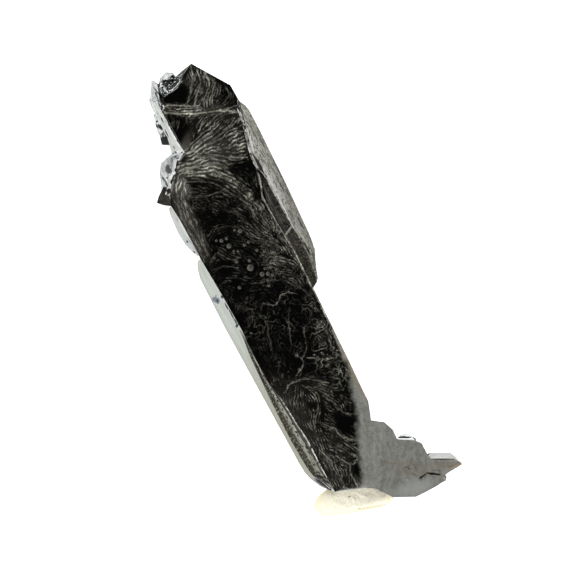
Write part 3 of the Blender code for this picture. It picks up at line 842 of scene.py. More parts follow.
@dataclass
class GrowthLines:
    """The fine lines on the basal face, as fields on a plan grid."""

    plan: Plan = field(default_factory=lambda: Plan((-8.2, -24.8), (5.8, 24.8), 0.05))
    ridges: tuple[Ridge, ...] = CAP_RIDGES + STREAK_RIDGES + MIDDLE_RIDGES + LOWER_RIDGES
    spacing: float = 0.36
    fine_spacing: float = 0.24
    stipple_spacing: float = 0.24
    wide: float = 0.17  # a wider ridge is drawn in clots
    # painted highlight: the side where a hillock's rim is drawn brightest
    lit: float = math.radians(-160)  # the bright side of a hillock
    thin: Point = (0.65, 1.4)  # a wave is no line below the first and a full one above the second
    faintest: float = 0.055
    gain: float = 1.16
    contrast: float = 1.22
    rounds: int = 12
    # painted highlights on the hillocks: how bright a cap and a rim are
    cap: float = 0.20
    rim: float = 0.13

    def grow(self) -> dict[str, Array]:
        """Works the fields out.

        Broad and narrow fingerprint lines, each as strong as the zones and the drawn ridges near it say, the
        worms, the stipple and the drawn ridges are laid over each other and the brightest one counts. The
        brightness is then gain (line - faintest)^contrast.

        Returns:
            line, haze and dome, by name: how bright a line is, as painted reflection that also sets its relief,
            how hazy the ground is, and how high a hillock is.
        """
        flow = self.flow()
        led, haze, maze, stipple = self.ground()
        x, y = self.plan.x, self.plan.y
        fray = np.clip(0.95 + 0.6 * fractal(x, y, 0.2, 19, 2), 0.4, 1.4)
        fade = np.clip(0.8 + 1.0 * fractal(x, y, 0.8, 21), 0.1, 1.45)
        other = np.clip(0.5 + 1.4 * fractal(x, y, 0.9, 25), 0.0, 1.4)
        drawn, near = self.drawn()
        upper = rise(6, 12, y) * rise(18, 16.5, y)
        strong = np.clip(0.3 + 0.5 * upper + 1.2 * fractal(x, y, 0.6, 27), 0, 1)
        low, high = (edge + 0.3 * fractal(x, y, 0.4, 23, 2) for edge in self.thin)
        broad = rise(low, high, self.fingerprint(flow, self.spacing, 3, 0.78)) * strong
        narrow = rise(low, high, self.fingerprint(flow, self.fine_spacing, 7, 0.72)) * (1 - 0.7 * strong)
        line = np.maximum(broad, narrow) * fade * np.maximum(led, near)
        worms = self.contours() * np.clip(0.6 + 0.9 * fractal(x, y, 1.3, 29), 0.1, 1.1) * maze
        dots = rise(0.7, 2.0, self.fingerprint(flow, self.stipple_spacing, 5, 0.25, -0.5)) * other * stipple
        line = np.maximum(np.maximum(line, worms), dots)
        line = np.maximum(line, drawn * np.clip(fade, 0.6, 1.1)) * fray
        line, dome = self.hillocks(line)
        bright = self.gain * np.clip(line - self.faintest, 0, None) ** self.contrast
        return {"line": bright, "haze": haze, "dome": dome}

    def hillocks(self, line: Array) -> tuple[Array, Array]:
        """Clears the lines off the hillocks and gives each painted highlights: a faint cap, a rim lit from one
        side.

        With r the distance in radii, a dome is (1.15 - r^2) of its radius, the lines on it fade by
        1 - exp(-(r / 1.25)^4), the cap is exp(-(r / 0.95)^6) and the rim exp(-((r - 0.8) / 0.24)^2).

        Args:
            line: The brightness of the lines.

        Returns:
            That brightness with the hillocks drawn in, and the height of the domes.
        """
        dome = np.zeros_like(line)
        for across, along, radius in HILLOCKS:
            x, y = self.plan.x - across, self.plan.y - along
            r = np.hypot(x, y) / radius
            # painted highlights: a faint cap, and a rim brighter towards the lit side
            lit = 1 + 0.9 * np.cos(np.arctan2(y, x) - self.lit)
            line = line * (1 - np.exp(-((r / 1.25) ** 4))) + self.cap * np.exp(-((r / 0.95) ** 6))
            line = line + self.rim * lit * np.exp(-(((r - 0.8) / 0.24) ** 2))
            dome = np.maximum(dome, np.clip(1.15 - r**2, 0, 1) * radius)
        return line, dome

    def flow(self) -> Array:
        """The direction that lines follow, as exp(2i angle): each ridge pulls by its length over distance^4.

        Returns:
            The doubled direction as complex numbers, shorter where ridges disagree.
        """
        coarse = Plan(self.plan.low, self.plan.high, 0.35)
        pull, weight = np.zeros(coarse.x.shape, complex), np.zeros(coarse.x.shape)
        for ridge in self.ridges:
            points = curve(ridge.path, 0.3)
            middle, run = (points[1:] + points[:-1]) / 2, points[1:] - points[:-1]
            apart = (coarse.x[..., None] - middle[:, 0]) ** 2 + (coarse.y[..., None] - middle[:, 1]) ** 2
            w = np.hypot(run[:, 0], run[:, 1]) / (apart + 0.25) ** 2
            pull += (w * np.exp(2j * np.arctan2(run[:, 1], run[:, 0]))).sum(-1)
            weight += w.sum(-1)
        led = coarse.read(pull / weight, self.plan.x, self.plan.y)
        x, y = self.plan.x, self.plan.y
        return led * np.exp(1.3j * fractal(x, y, 1.0, 5, 2) + 0.9j * fractal(x, y, 0.4, 9, 2))

    def ground(self) -> list[Array]:
        """The zones' own strengths of led lines, haze, maze and stipple, averaged by their shares.

        Returns:
            The four fields.
        """
        shape = self.plan.x.shape
        weight = np.full(shape, 0.25)
        fields = [np.full(shape, 0.25 * start) for start in (0.10, 0.02, 0.24, 0.10)]
        for zone in ZONES:
            share = zone.share(self.plan.x, self.plan.y)
            weight += share
            for total, value in zip(fields, (zone.lines, zone.haze, zone.maze, zone.stipple)):
                total += share * value
        return [total / weight for total in fields]

    def fingerprint(self, flow: Array, spacing: float, seed: int, led: float, bias: float = 0.0) -> Array:
        """Branching lines grown out of noise.

        Each round keeps the waves of about one spacing, smooths them along the flow with a raised cosine, and
        bends the result through tanh, as in patterns that grow by reaction and diffusion.

        Args:
            flow: The doubled direction of the lines.
            spacing: The distance between lines, in millimetres.
            seed: Which noise to start from.
            led: How much the lines keep to the flow, from 0 to 1.
            bias: Below 0 breaks the lines up into dots.

        Returns:
            The field, with a spread of 1.
        """
        plan = self.plan
        across, along = np.fft.rfftfreq(plan.columns, plan.pitch), np.fft.fftfreq(plan.rows, plan.pitch)
        waves = np.hypot(across[None, :], along[:, None])
        ring = np.exp(-(((waves * spacing - 1) / 0.28) ** 2))
        steps = list(self.follow(flow, int(0.5 / plan.pitch)))
        total = sum(weight for weight, _, _ in steps)
        grown = np.random.default_rng(seed).normal(size=plan.x.shape)
        for _ in range(self.rounds):
            kept = np.fft.irfft2(np.fft.rfft2(grown) * ring, s=grown.shape)
            kept = kept / kept.std()
            smoothed = sum(weight * plan.read(kept, x, y) for weight, x, y in steps) / total
            kept = led * smoothed / smoothed.std() + (1 - led) * kept
            grown = np.tanh(1.6 * (kept + bias))
        soft = np.exp(-(((waves * spacing - 1) / 1.1) ** 2) * (waves * spacing > 1))
        grown = np.fft.irfft2(np.fft.rfft2(grown) * soft, s=grown.shape)
        grown = grown - grown.mean()
        x = plan.x + 0.34 * spacing * fractal(plan.x, plan.y, spacing, seed + 50, 2)
        y = plan.y + 0.34 * spacing * fractal(plan.x, plan.y, spacing, seed + 60, 2)
        return plan.read(grown / grown.std(), x, y)

    def contours(self, size: float = 0.85, levels: float = 2.2, width: float = 0.034) -> Array:
        """Worm-like loops: level lines of a noise, kept to one width by dividing by its slope.

        Args:
            size: The size of the noise.
            levels: How many level lines to a unit of height.
            width: Half the width of a line.

        Returns:
            1 on a line, falling to 0 beside it.
        """
        x = self.plan.x + 0.12 * fractal(self.plan.x, self.plan.y, 0.3, 141, 2)
        y = self.plan.y + 0.12 * fractal(self.plan.x, self.plan.y, 0.3, 145, 2)
        height = levels * fractal(x, y, size, 151, 3)
        slope = np.hypot(*np.gradient(height, self.plan.pitch)) + 0.8
        apart = np.abs(height - np.round(height)) / slope
        return np.exp(-((apart / width) ** 2))

    def follow(self, flow: Array, reach: int) -> Iterator[tuple[float, Array, Array]]:
        """Walks from every grid point along the flow, both ways, two grid pitches a step.

        Args:
            flow: The doubled direction of the lines.
            reach: How many steps each way.

        Returns:
            Each step's weight, a raised cosine of how far along it is, and the positions reached.
        """
        plan = self.plan
        yield 1.0, plan.x, plan.y
        slope = np.angle(flow) / 2
        for way in (1, -1):
            x, y = plan.x, plan.y
            dx, dy = way * np.cos(slope), way * np.sin(slope)
            for step in range(1, reach + 1):
                x, y = x + 2 * plan.pitch * dx, y + 2 * plan.pitch * dy
                turned = np.angle(plan.read(flow, x, y)) / 2
                side = np.where(np.cos(turned) * dx + np.sin(turned) * dy < 0, -1, 1)
                dx, dy = side * np.cos(turned), side * np.sin(turned)
                yield 0.5 * (1 + math.cos(math.pi * step / (reach + 1))), x, y

    def drawn(self) -> tuple[Array, Array]:
        """The ridges that stand out, on wavering positions.

        Returns:
            Their brightness, glow exp(-(distance / 0.6 width)^2), and how much they light the lines beside
            them, glow exp(-(distance / 2.2 width)^2).
        """
        plan = self.plan
        stray_x, stray_y = fractal(plan.x, plan.y, 0.45, 31), fractal(plan.x, plan.y, 0.45, 41)
        grains = fractal(plan.x, plan.y, 0.22, 35, 2)
        bright, near = np.zeros_like(stray_x), np.zeros_like(stray_x)
        for ridge in (r for r in self.ridges if r.glow > 0):
            points = curve(ridge.path, 0.25)
            low, high = points.min(0) - 0.9, points.max(0) + 0.9
            i0, j0 = ((low - plan.low) / plan.pitch).astype(int).clip(0)
            i1, j1 = ((high - plan.low) / plan.pitch).astype(int) + 1
            part = (slice(j0, j1), slice(i0, i1))
            px = plan.x[part] + ridge.waver * stray_x[part]
            py = plan.y[part] + ridge.waver * stray_y[part]
            apart = np.full(px.shape, 9.0)
            for start, run in zip(points, points[1:] - points[:-1]):
                t = np.clip(((px - start[0]) * run[0] + (py - start[1]) * run[1]) / (run @ run), 0, 1)
                apart = np.minimum(apart, np.hypot(px - start[0] - t * run[0], py - start[1] - t * run[1]))
            clots = np.clip(0.35 + 1.6 * grains[part], 0.1, 1.2) if ridge.width > self.wide else 1.0
            for total, reach, share in ((bright, 0.6, clots), (near, 2.2, 1.0)):
                glow = ridge.glow * share * np.exp(-((apart / (reach * ridge.width)) ** 2))
                total[part] = np.maximum(total[part], glow)
        return bright, near


# The crystal


@dataclass
class BasalFace:
    """The basal face of the blade with its growth lines, running on over the upper plate of the fan."""

    left_edge: tuple[Point, ...] = (
        (3.00, -24.48), (2.15, -24.46), (0.08, -23.49), (-0.54, -22.60), (-1.05, -21.95), (-1.91, -21.43),
        (-3.17, -20.97), (-4.87, -20.38), (-4.97, -18.02), (-4.98, -14.74), (-5.29, -12.06), (-5.51, -9.82),
        (-5.99, -7.35), (-6.06, -1.51), (-6.24, 2.16), (-6.51, 6.54), (-6.29, 7.66), (-6.79, 12.49),
        (-6.44, 13.43), (-5.77, 14.44), (-4.83, 15.31), (-4.11, 16.18), (-3.22, 16.63), (-3.13, 17.15),
        (-3.18, 19.52), (-3.30, 21.84), (-2.65, 22.60), (-1.53, 22.83), (-0.46, 23.20), (0.17, 23.77),
        (1.30, 24.32),
    )
    right_edge: tuple[Point, ...] = (
        (3.30, -24.48), (4.40, -24.46), (5.10, -24.36), (5.58, -24.30), (5.80, -23.95), (5.76, -23.80),
        (6.65, -23.72), (7.77, -23.64), (7.74, -23.40), (7.61, -23.18), (7.28, -22.75), (5.12, -21.66),
        (5.10, -21.40), (5.05, -20.90), (5.06, -19.90), (4.65, -19.47), (4.34, -19.20), (3.20, -18.58),
        (3.03, -18.40), (3.09, -17.45), (2.84, -16.83), (2.63, -16.34), (2.08, -16.01), (1.48, -15.74),
        (2.04, -13.81), (2.14, -13.08), (2.23, -9.53), (2.26, -5.43), (2.29, -1.27), (2.42, -0.34),
        (2.35, 2.27), (2.19, 4.05), (1.98, 8.34), (2.25, 9.89), (2.60, 10.94), (2.42, 11.92), (2.51, 12.77),
        (2.96, 14.90), (3.31, 16.84), (3.45, 18.12), (3.91, 19.11), (3.91, 20.66), (1.38, 24.32),
    )
    satin_edge: tuple[Point, ...] = (
        (-3.20, -22.60), (-2.70, -21.71), (-1.96, -20.46), (-1.45, -19.50), (-1.15, -18.67),
        (-0.49, -16.79), (0.31, -14.96), (0.93, -13.03), (1.42, -11.60), (1.80, -10.13), (1.83, -8.70),
        (1.92, -7.40), (2.02, -6.10), (2.00, -5.00),
    )
    blade_end: tuple[Point, Point] = ((-2.30, -21.20), (1.50, -15.75))
    parts: tuple[tuple[str, float, float], ...] = (
        ("basal_face_lower", -24.48, 0.0),
        ("basal_face_upper", 0.0, 24.32),
    )
    pitch: float = 0.05
    columns: int = 168
    rim: float = 4.285
    fan: float = 4.17
    crown: float = 0.15
    base: float = 3.6
    droop: float = 0.075  # for each millimetre of x past droop_start
    droop_start: float = 4.6
    relief: float = 0.028
    hillock: float = 0.12
    arc_relief: float = 0.008
    sway: float = 0.03
    groove: float = 0.006
    arc_centre: Point = (-4.5, -17.0)
    satin_top: Point = (-5.5, -5.9)  # from where to where along the blade the satin begins
    loosening: Point = (-6.0, -11.0)  # from where to where its edge grows soft
    pitted: Mark = Mark((3.0, -21.9), (1.3, 0.55), -32)
    marks: tuple[Mark, ...] = (
        Mark((4.79, -23.22), (0.76, 0.11), -33, 2.8), Mark((3.65, -22.92), (0.46, 0.09), 5, 2.4),
        Mark((3.10, -22.49), (0.48, 0.05), -50, 1.0), Mark((5.14, -22.98), (0.62, 0.045), -28, 1.4),
        Mark((3.45, -23.10), (0.20, 0.06), 40, 1.6), Mark((2.6, -21.6), (2.4, 0.9), -30, 0.22),
        Mark((6.3, -23.0), (1.3, 0.5), -24, 0.3), Mark((0.95, -19.95), (0.75, 0.09), -38, 0.7),
        Mark((1.75, -20.55), (0.65, 0.07), -30, 0.5), Mark((2.11, -22.56), (0.12, 0.09), 0, -1.5),
        Mark((2.02, -10.9), (0.22, 2.6), -3, 0.3), Mark((4.92, -20.05), (0.22, 0.10), -60, 0.8),
        Mark((3.2, -21.3), (1.3, 0.09), -36, 0.35), Mark((2.4, -23.6), (2.2, 0.75), -12, -0.65),
        Mark((6.15, -22.26), (1.25, 0.06), -26.5, 1.7), Mark((6.75, -23.30), (0.55, 0.10), -8, 0.55),
        Mark((7.45, -23.25), (0.30, 0.20), -60, 0.45), Mark((6.0, -23.0), (1.0, 0.035), -20, 0.7),
        Mark((6.3, -22.75), (0.8, 0.03), -24, 0.5), Mark((5.1, -22.6), (1.2, 0.035), -22, 0.5),
        Mark((4.6, -22.1), (1.3, 0.03), -24, 0.4), Mark((5.68, -23.95), (0.10, 0.25), 20, 1.2),
        Mark((5.2, -24.1), (0.3, 0.05), -16, 1.0), Mark((7.45, -22.98), (0.12, 0.34), 24, -1.2),
        Mark((6.9, -22.85), (0.5, 0.06), -24, -0.6), Mark((7.15, -23.52), (0.55, 0.06), -6, -0.8),
        Mark((5.55, -24.12), (0.14, 0.12), 0, -1.4),
    )
    rust: tuple[Mark, ...] = (
        Mark((6.95, -23.46), (0.70, 0.11), -3, 0.75), Mark((6.55, -23.10), (0.8, 0.08), -20, 0.25),
        Mark((4.6, -20.6), (0.7, 0.05), -40, 0.25), Mark((4.7, -22.4), (0.9, 0.3), -26, 0.2),
        Mark((2.1, -20.9), (1.2, 0.18), -44, 0.2), Mark((7.55, -23.50), (0.22, 0.12), 0, 0.8),
        Mark((2.05, -10.4), (0.28, 3.4), -3, 0.4), Mark((2.3, -13.4), (0.25, 1.2), -3, 0.25),
    )

    def build(self, lines: GrowthLines) -> list[bpy.types.Object]:
        """The face in two pieces that meet in one row of points.

        Args:
            lines: The growth lines.

        Returns:
            The pieces.
        """
        fields = lines.grow()
        return [self.part(name, low, high, lines.plan, fields) for name, low, high in self.parts]

    def satin(self, x: Array, y: Array) -> Array:
        """The satin ground of the fan: a smooth step across satin_edge, wavering and wider along the fan.

        Args:
            x: Positions across.
            y: Positions along.

        Returns:
            1 on it and 0 on the black.
        """
        edge = np.array(self.satin_edge)
        loose = rise(*self.loosening, y)
        stray = (0.04 + 0.3 * loose) * fractal(x, y, 0.6, 61)
        past = x - np.interp(y, edge[:, 1], edge[:, 0]) + stray
        return rise(-1.0, 1.0, past / (0.10 + 0.28 * loose)) * rise(*self.satin_top, y)

    def arcs(self, x: Array, y: Array) -> Array:
        """Noise drawn out along arcs round arc_centre: it varies by the radius and slowly by the angle.

        Args:
            x: Positions across.
            y: Positions along.

        Returns:
            The noise, between -1 and 1.
        """
        across, along = x - self.arc_centre[0], y - self.arc_centre[1]
        reach = np.hypot(across, along) + 0.3 * fractal(x, y, 1.5, 85)
        return fractal(reach, np.arctan2(along, across) * 2.0, 0.17, 71, 4)

    def level(self, x: Array, y: Array, bulge: Array) -> Array:
        """The face without its relief: rim + crown bulge on the blade, falling to the fan past its end.

        Beyond droop_start it also sinks by droop for each millimetre of x.

        Args:
            x: Positions across.
            y: Positions along.
            bulge: How much of the crown stands at each position.

        Returns:
            Its height.
        """
        (x0, y0), (x1, y1) = self.blade_end
        beyond = ((x - x0) * (y1 - y0) - (y - y0) * (x1 - x0)) / math.hypot(x1 - x0, y1 - y0)
        fall = rise(0.1, 1.7, beyond) * rise(-15.2, -16.6, y)
        height = self.rim + self.crown * bulge * (1 - rise(-1.5, 2.5, beyond)) - (self.rim - self.fan) * fall
        return height - self.droop * np.clip(x - self.droop_start, 0, None)

    def part(
        self, name: str, low: float, high: float, plan: Plan, fields: dict[str, Array]
    ) -> bpy.types.Object:
        """A ruled surface between the two edges, with u from 0 to 1 across it.

        Its height is the level, with a bulge of 1 - (2u - 1)^4 that is less where the face is narrower than
        5 mm. On the black are added the relief of each line, as its brightness^0.5, and on both the domes of
        the hillocks. On the satin are added the arcs and a slow sway, less the grooves of marks and pits. All
        relief fades to nothing at the edges.

        Args:
            name: The piece's name.
            low: Where it starts along the blade.
            high: Where it ends.
            plan: The growth lines' grid.
            fields: Their fields.

        Returns:
            The piece.
        """
        left, right = np.array(self.left_edge), np.array(self.right_edge)
        along = np.linspace(low, high, int((high - low) / self.pitch) + 1)
        share = np.linspace(0, 1, self.columns)
        start, end = np.interp(along, left[:, 1], left[:, 0]), np.interp(along, right[:, 1], right[:, 0])
        x = start[:, None] + (end - start)[:, None] * share
        y = np.repeat(along[:, None], self.columns, 1)
        line, haze, dome = (plan.read(fields[key], x, y) for key in ("line", "haze", "dome"))
        satin, arc, mark = self.satin(x, y), self.arcs(x, y), marked(self.marks, x, y)
        pits = rise(0.08, 0.34, fractal(x, y, 0.15, 95)) * self.pitted.read(x, y)
        bulge = (1 - (2 * share - 1) ** 4)[None, :] * np.minimum(1, (end - start) / 5)[:, None]
        soft = np.minimum(1, 9 * share * (1 - share))[None, :]
        sunk = self.groove * np.clip(np.maximum(mark, pits), 0, 1)
        height = self.level(x, y, bulge)
        height = height + soft * (self.relief * np.sqrt(line) * (1 - satin) + self.hillock * dome)
        height = height + soft * satin * (self.arc_relief * arc + self.sway * fractal(x, y, 1.6, 75) - sunk)
        numbers = {
            # painted reflection: the brightness of the growth lines, less on the satin
            "line": np.clip(line, 0, 1.3) * (1 - 0.6 * satin),
            "haze": haze,
            "satin": satin * 0.94,
            "arc": 0.5 + 0.9 * arc,
            "pale": np.clip(-mark, 0, 1),
            # stain and crack: real stains, and painted shade in the grooves of marks and pits
            "stain": np.clip(np.maximum(mark, pits), 0, 1),
            "crack": np.clip(np.maximum(mark - 0.9, pits - 0.4), 0, 1),
            "rust": np.clip(marked(self.rust, x, y), 0, 1),
        }
        return slab(name, np.stack([x, y, height], -1), self.base, [BasalFinish().make()], numbers)


class Facet(Enum):
    """The kinds of face on the body of the crystal."""

    FLANK = 0
    RIGHT = 1
    LEFT = 2
    TERRACE = 3
    SILVER = 4
    FAN = 5


@dataclass(frozen=True)
class Patch:
    """A part of the body whose faces are of one kind, where their middles lie in it and they look up."""

    kind: Facet
    across: Point = (-ANY, ANY)
    along: Point = (-ANY, ANY)
    highest: float = ANY
    least_up: float = 0.15

    def holds(self, middle: Array, up: Array) -> Array:
        """Says which faces it takes.

        Args:
            middle: The middle of each face, as x, y and z.
            up: How far each face's normal looks up, from -1 to 1.

        Returns:
            True for those.
        """
        x, y, z = middle
        inside = (self.across[0] < x) & (x < self.across[1]) & (self.along[0] < y) & (y < self.along[1])
        return inside & (z < self.highest) & (up > self.least_up)


@dataclass
class CrystalBody:
    """The intergrown crystals below the basal face, with a finish for each kind of face.

    Its patches are laid one over another, the later ones on top, and what is under none of them is a flank.
    """

    cut: float = 4.262
    weld: float = 0.002
    flattest: float = 0.6
    patches: tuple[Patch, ...] = (
        Patch(Facet.RIGHT, across=(1.4, ANY), along=(-2.0, 21.0), least_up=0.2),
        Patch(Facet.LEFT, across=(-ANY, -4.4), along=(-ANY, 13.0), least_up=0.2),
        Patch(Facet.TERRACE, across=(1.4, ANY), along=(3.0, 13.5), highest=4.1, least_up=0.9),
        Patch(Facet.SILVER, across=(-ANY, -2.5), along=(12.4, ANY)),
        Patch(Facet.SILVER, across=(-ANY, 0.6), along=(21.5, ANY)),
        Patch(Facet.FAN, across=(-2.6, ANY), along=(-ANY, -14.5)),
        Patch(Facet.TERRACE, across=(-ANY, -6.2), along=(12.0, 14.7), highest=3.4),
        Patch(Facet.TERRACE, across=(-ANY, -5.9), along=(12.0, 13.7)),
    )

    def build(self) -> bpy.types.Object:
        """Copies the solid, takes its top layers off and dresses each face by where it lies.

        Returns:
            The piece.
        """
        made = bpy.data.objects.new("crystal_body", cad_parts["hematite"].data.copy())
        bpy.context.scene.collection.objects.link(made)
        form = bmesh.new()
        form.from_mesh(made.data)
        bmesh.ops.remove_doubles(form, verts=form.verts, dist=self.weld * MM)
        everything = form.verts[:] + form.edges[:] + form.faces[:]
        cut = bmesh.ops.bisect_plane(
            form,
            geom=everything,
            dist=1e-8,
            plane_co=(0, 0, self.cut * MM),
            plane_no=(0, 0, 1),
            clear_outer=True,
        )
        rim = [item for item in cut["geom_cut"] if isinstance(item, bmesh.types.BMEdge)]
        bmesh.ops.edgeloop_fill(form, edges=rim)
        flattest = math.radians(self.flattest)
        bmesh.ops.dissolve_limit(form, angle_limit=flattest, verts=form.verts, edges=form.edges)
        bmesh.ops.triangulate(form, faces=form.faces)
        form.to_mesh(made.data)
        form.free()
        self.dress(made.data)
        return made

    def dress(self, mesh: bpy.types.Mesh) -> None:
        """Gives each face the finish of the last patch that holds it.

        Args:
            mesh: The body's mesh.
        """
        count = len(mesh.polygons)
        middle, normal = np.zeros(count * 3), np.zeros(count * 3)
        mesh.polygons.foreach_get("center", middle)
        mesh.polygons.foreach_get("normal", normal)
        middle, up = middle.reshape(-1, 3).T / MM, normal.reshape(-1, 3)[:, 2]
        kind = np.full(count, Facet.FLANK.value)
        for patch in self.patches:
            kind[patch.holds(middle, up)] = patch.kind.value
        mesh.materials.clear()
        for finish in self.finishes():
            mesh.materials.append(finish.make())
        mesh.polygons.foreach_set("material_index", kind.astype(np.int32))
        mesh.polygons.foreach_set("use_smooth", np.zeros(count, bool))
        mesh.update()

    def finishes(self) -> list[BevelFinish | PlainFinish]:
        """The finish of each kind of face.

        Returns:
            The finishes, in the order of Facet.
        """
        # The bevels' base colours are lighter than the basal face's partly as painted reflection; the lights
        # give the rest.
        return [
            FLANK,
            BevelFinish(
                name="right_bevel",
                light=(0.17, 0.165, 0.14),
                dark=(0.10, 0.095, 0.075),
                stain=(0.08, 0.065, 0.04),
                turn=-2.0,
                rough=0.34,
            ),
            BevelFinish(
                name="left_bevel",
                light=(0.41, 0.43, 0.41),
                dark=(0.34, 0.35, 0.32),
                stain=(0.2, 0.2, 0.17),
                turn=1.0,
                rough=0.22,
                streak=0.14,
            ),
            PlainFinish(
                name="terrace",
                light=(0.034, 0.031, 0.022),
                dark=(0.006, 0.006, 0.005),
                size=0.3,
                rough=0.5,
                depth=0.03,
                gloss=0.08,
            ),
            PlainFinish(
                name="silver_etch",
                light=(0.40, 0.42, 0.42),
                dark=(0.16, 0.165, 0.16),
                size=0.4,
                rough=0.2,
                metallic=0.95,
                depth=0.06,
            ),
            PlainFinish(
                name="fan_plates",
                light=(0.145, 0.147, 0.13),
                dark=(0.08, 0.08, 0.07),
                size=0.7,
                rough=0.42,
                metallic=0.2,
                depth=0.03,
            ),
        ]


@dataclass(frozen=True)
class Dip:
    """A plane through a level line, falling away to the right of it by an angle."""

    start: Point
    end: Point
    height: float
    angle: float

    def level(self, x: Array, y: Array) -> Array:
        """Its height anywhere.

        That is the height of the line, less the distance to the right of it times the tangent of the dip.

        Args:
            x: Positions across.
            y: Positions along.

        Returns:
            The height at each position.
        """
        run = np.subtract(self.end, self.start)
        out = np.array([run[1], -run[0]]) / np.hypot(*run)
        away = (x - self.start[0]) * out[0] + (y - self.start[1]) * out[1]
        return self.height - math.tan(math.radians(self.angle)) * away


def flat(height: float) -> Dip:
    """A level plane."""
    return Dip((0, 1), (0, 0), height, 0.0)


@dataclass(frozen=True)
class FacetSkin:
    """A face of the crystal worked up as a surface between two lines on its plan.

    Its walls and base take the flanks' finish, or its own where it is etched.
    """

    name: str
    left: tuple[Point, ...]
    right: tuple[Point, ...]
    blocks: tuple[tuple[Dip, ...], ...]
    finish: StripFinish
    columns: int = 26
    pitch: float = 0.09
    depth: float = 0.5
    streak: float = 0.014
    wave: float = 0.02
    grit: float = 0.006
    lumps: float = 0.0
    lift: float = 0.03
    crosswise: bool = False  # if set, streaks run from left to right
    etched: bool = False
    marks: tuple[Mark, ...] = ()
    seed: int = 91
    groove: float = 0.012
    least: float = 0.004

    def build(self) -> bpy.types.Object:
        """A ruled surface on the highest of the blocks, each cut off by its lowest dipping plane.

        Streaks along it, slow waves, grit and lumps, all of them noise, raise it, marks sink into it, and the
        relief fades to nothing at its rim.

        Returns:
            The piece.
        """
        left, right = np.array(self.left), np.array(self.right)
        length = max(np.linalg.norm(np.diff(line, axis=0), axis=1).sum() for line in (left, right))
        rows = max(12, int(length / self.pitch))
        along = np.linspace(0, 1, rows)
        share = np.linspace(0, 1, self.columns)[None, :]
        a, b = resample(left, along)[:, None], resample(right, along)[:, None]
        plan = a + (b - a) * share[..., None]
        x, y = plan[..., 0], plan[..., 1]
        heights = [np.min([dip.level(x, y) for dip in dips], axis=0) for dips in self.blocks]
        level = np.max(heights, axis=0)
        across, run = np.hypot(*(plan - a).transpose(2, 0, 1)), length * along[:, None] + 0 * x
        if self.crosswise:
            across, run = run, across
        mark = marked(self.marks, x, y)
        rough = fractal(across, run / 16, 0.17, self.seed, 4) * self.streak
        rough += fractal(across, run / 4, 0.9, self.seed + 5) * self.wave
        rough += fractal(x, y, 0.16, self.seed + 9) * self.grit - self.groove * np.clip(mark, 0, 1)
        rough += self.lumps * (fractal(x, y, 0.75, self.seed + 13, 4) + 0.45)
        ends = np.minimum(1, 60 * along * (1 - along))[:, None]
        soft = np.minimum(1, 14 * share * (1 - share)) * ends
        points = np.stack([x, y, level + np.maximum(self.lift + soft * rough, self.least)], -1)
        numbers = {"across": share + 0 * x, "along": along[:, None] + 0 * x, "mark": mark}
        finishes = [self.finish.make()]
        if not self.etched:
            finishes.append(bpy.data.materials.get(FLANK.name) or FLANK.make())
        return slab(self.name, points, float(level.min()) - self.depth, finishes, numbers)


def resample(path: Array, share: Array) -> Array:
    """Points on a path.

    Args:
        path: The corners of the path, one a row.
        share: Shares of its length, from 0 to 1.

    Returns:
        The point at each share.
    """
    run = np.concatenate([[0], np.cumsum(np.linalg.norm(np.diff(path, axis=0), axis=1))])
    return np.stack([np.interp(share * run[-1], run, path[:, k]) for k in range(path.shape[1])], -1)


SATIN_BANDS = (
    (0.0, (0.40, 0.405, 0.38)),
    (0.16, (0.33, 0.335, 0.31)),
    (0.45, (0.28, 0.28, 0.255)),
    (0.64, (0.15, 0.147, 0.12)),
    (0.80, (0.19, 0.188, 0.16)),
    (1.0, (0.10, 0.092, 0.07)),
)
SILVER_BANDS = ((0.0, (0.36, 0.38, 0.37)), (0.5, (0.30, 0.31, 0.30)), (1.0, (0.38, 0.39, 0.37)))
FOIL_BANDS = ((0.0, (0.40, 0.42, 0.42)), (0.5, (0.30, 0.32, 0.31)), (1.0, (0.42, 0.44, 0.44)))


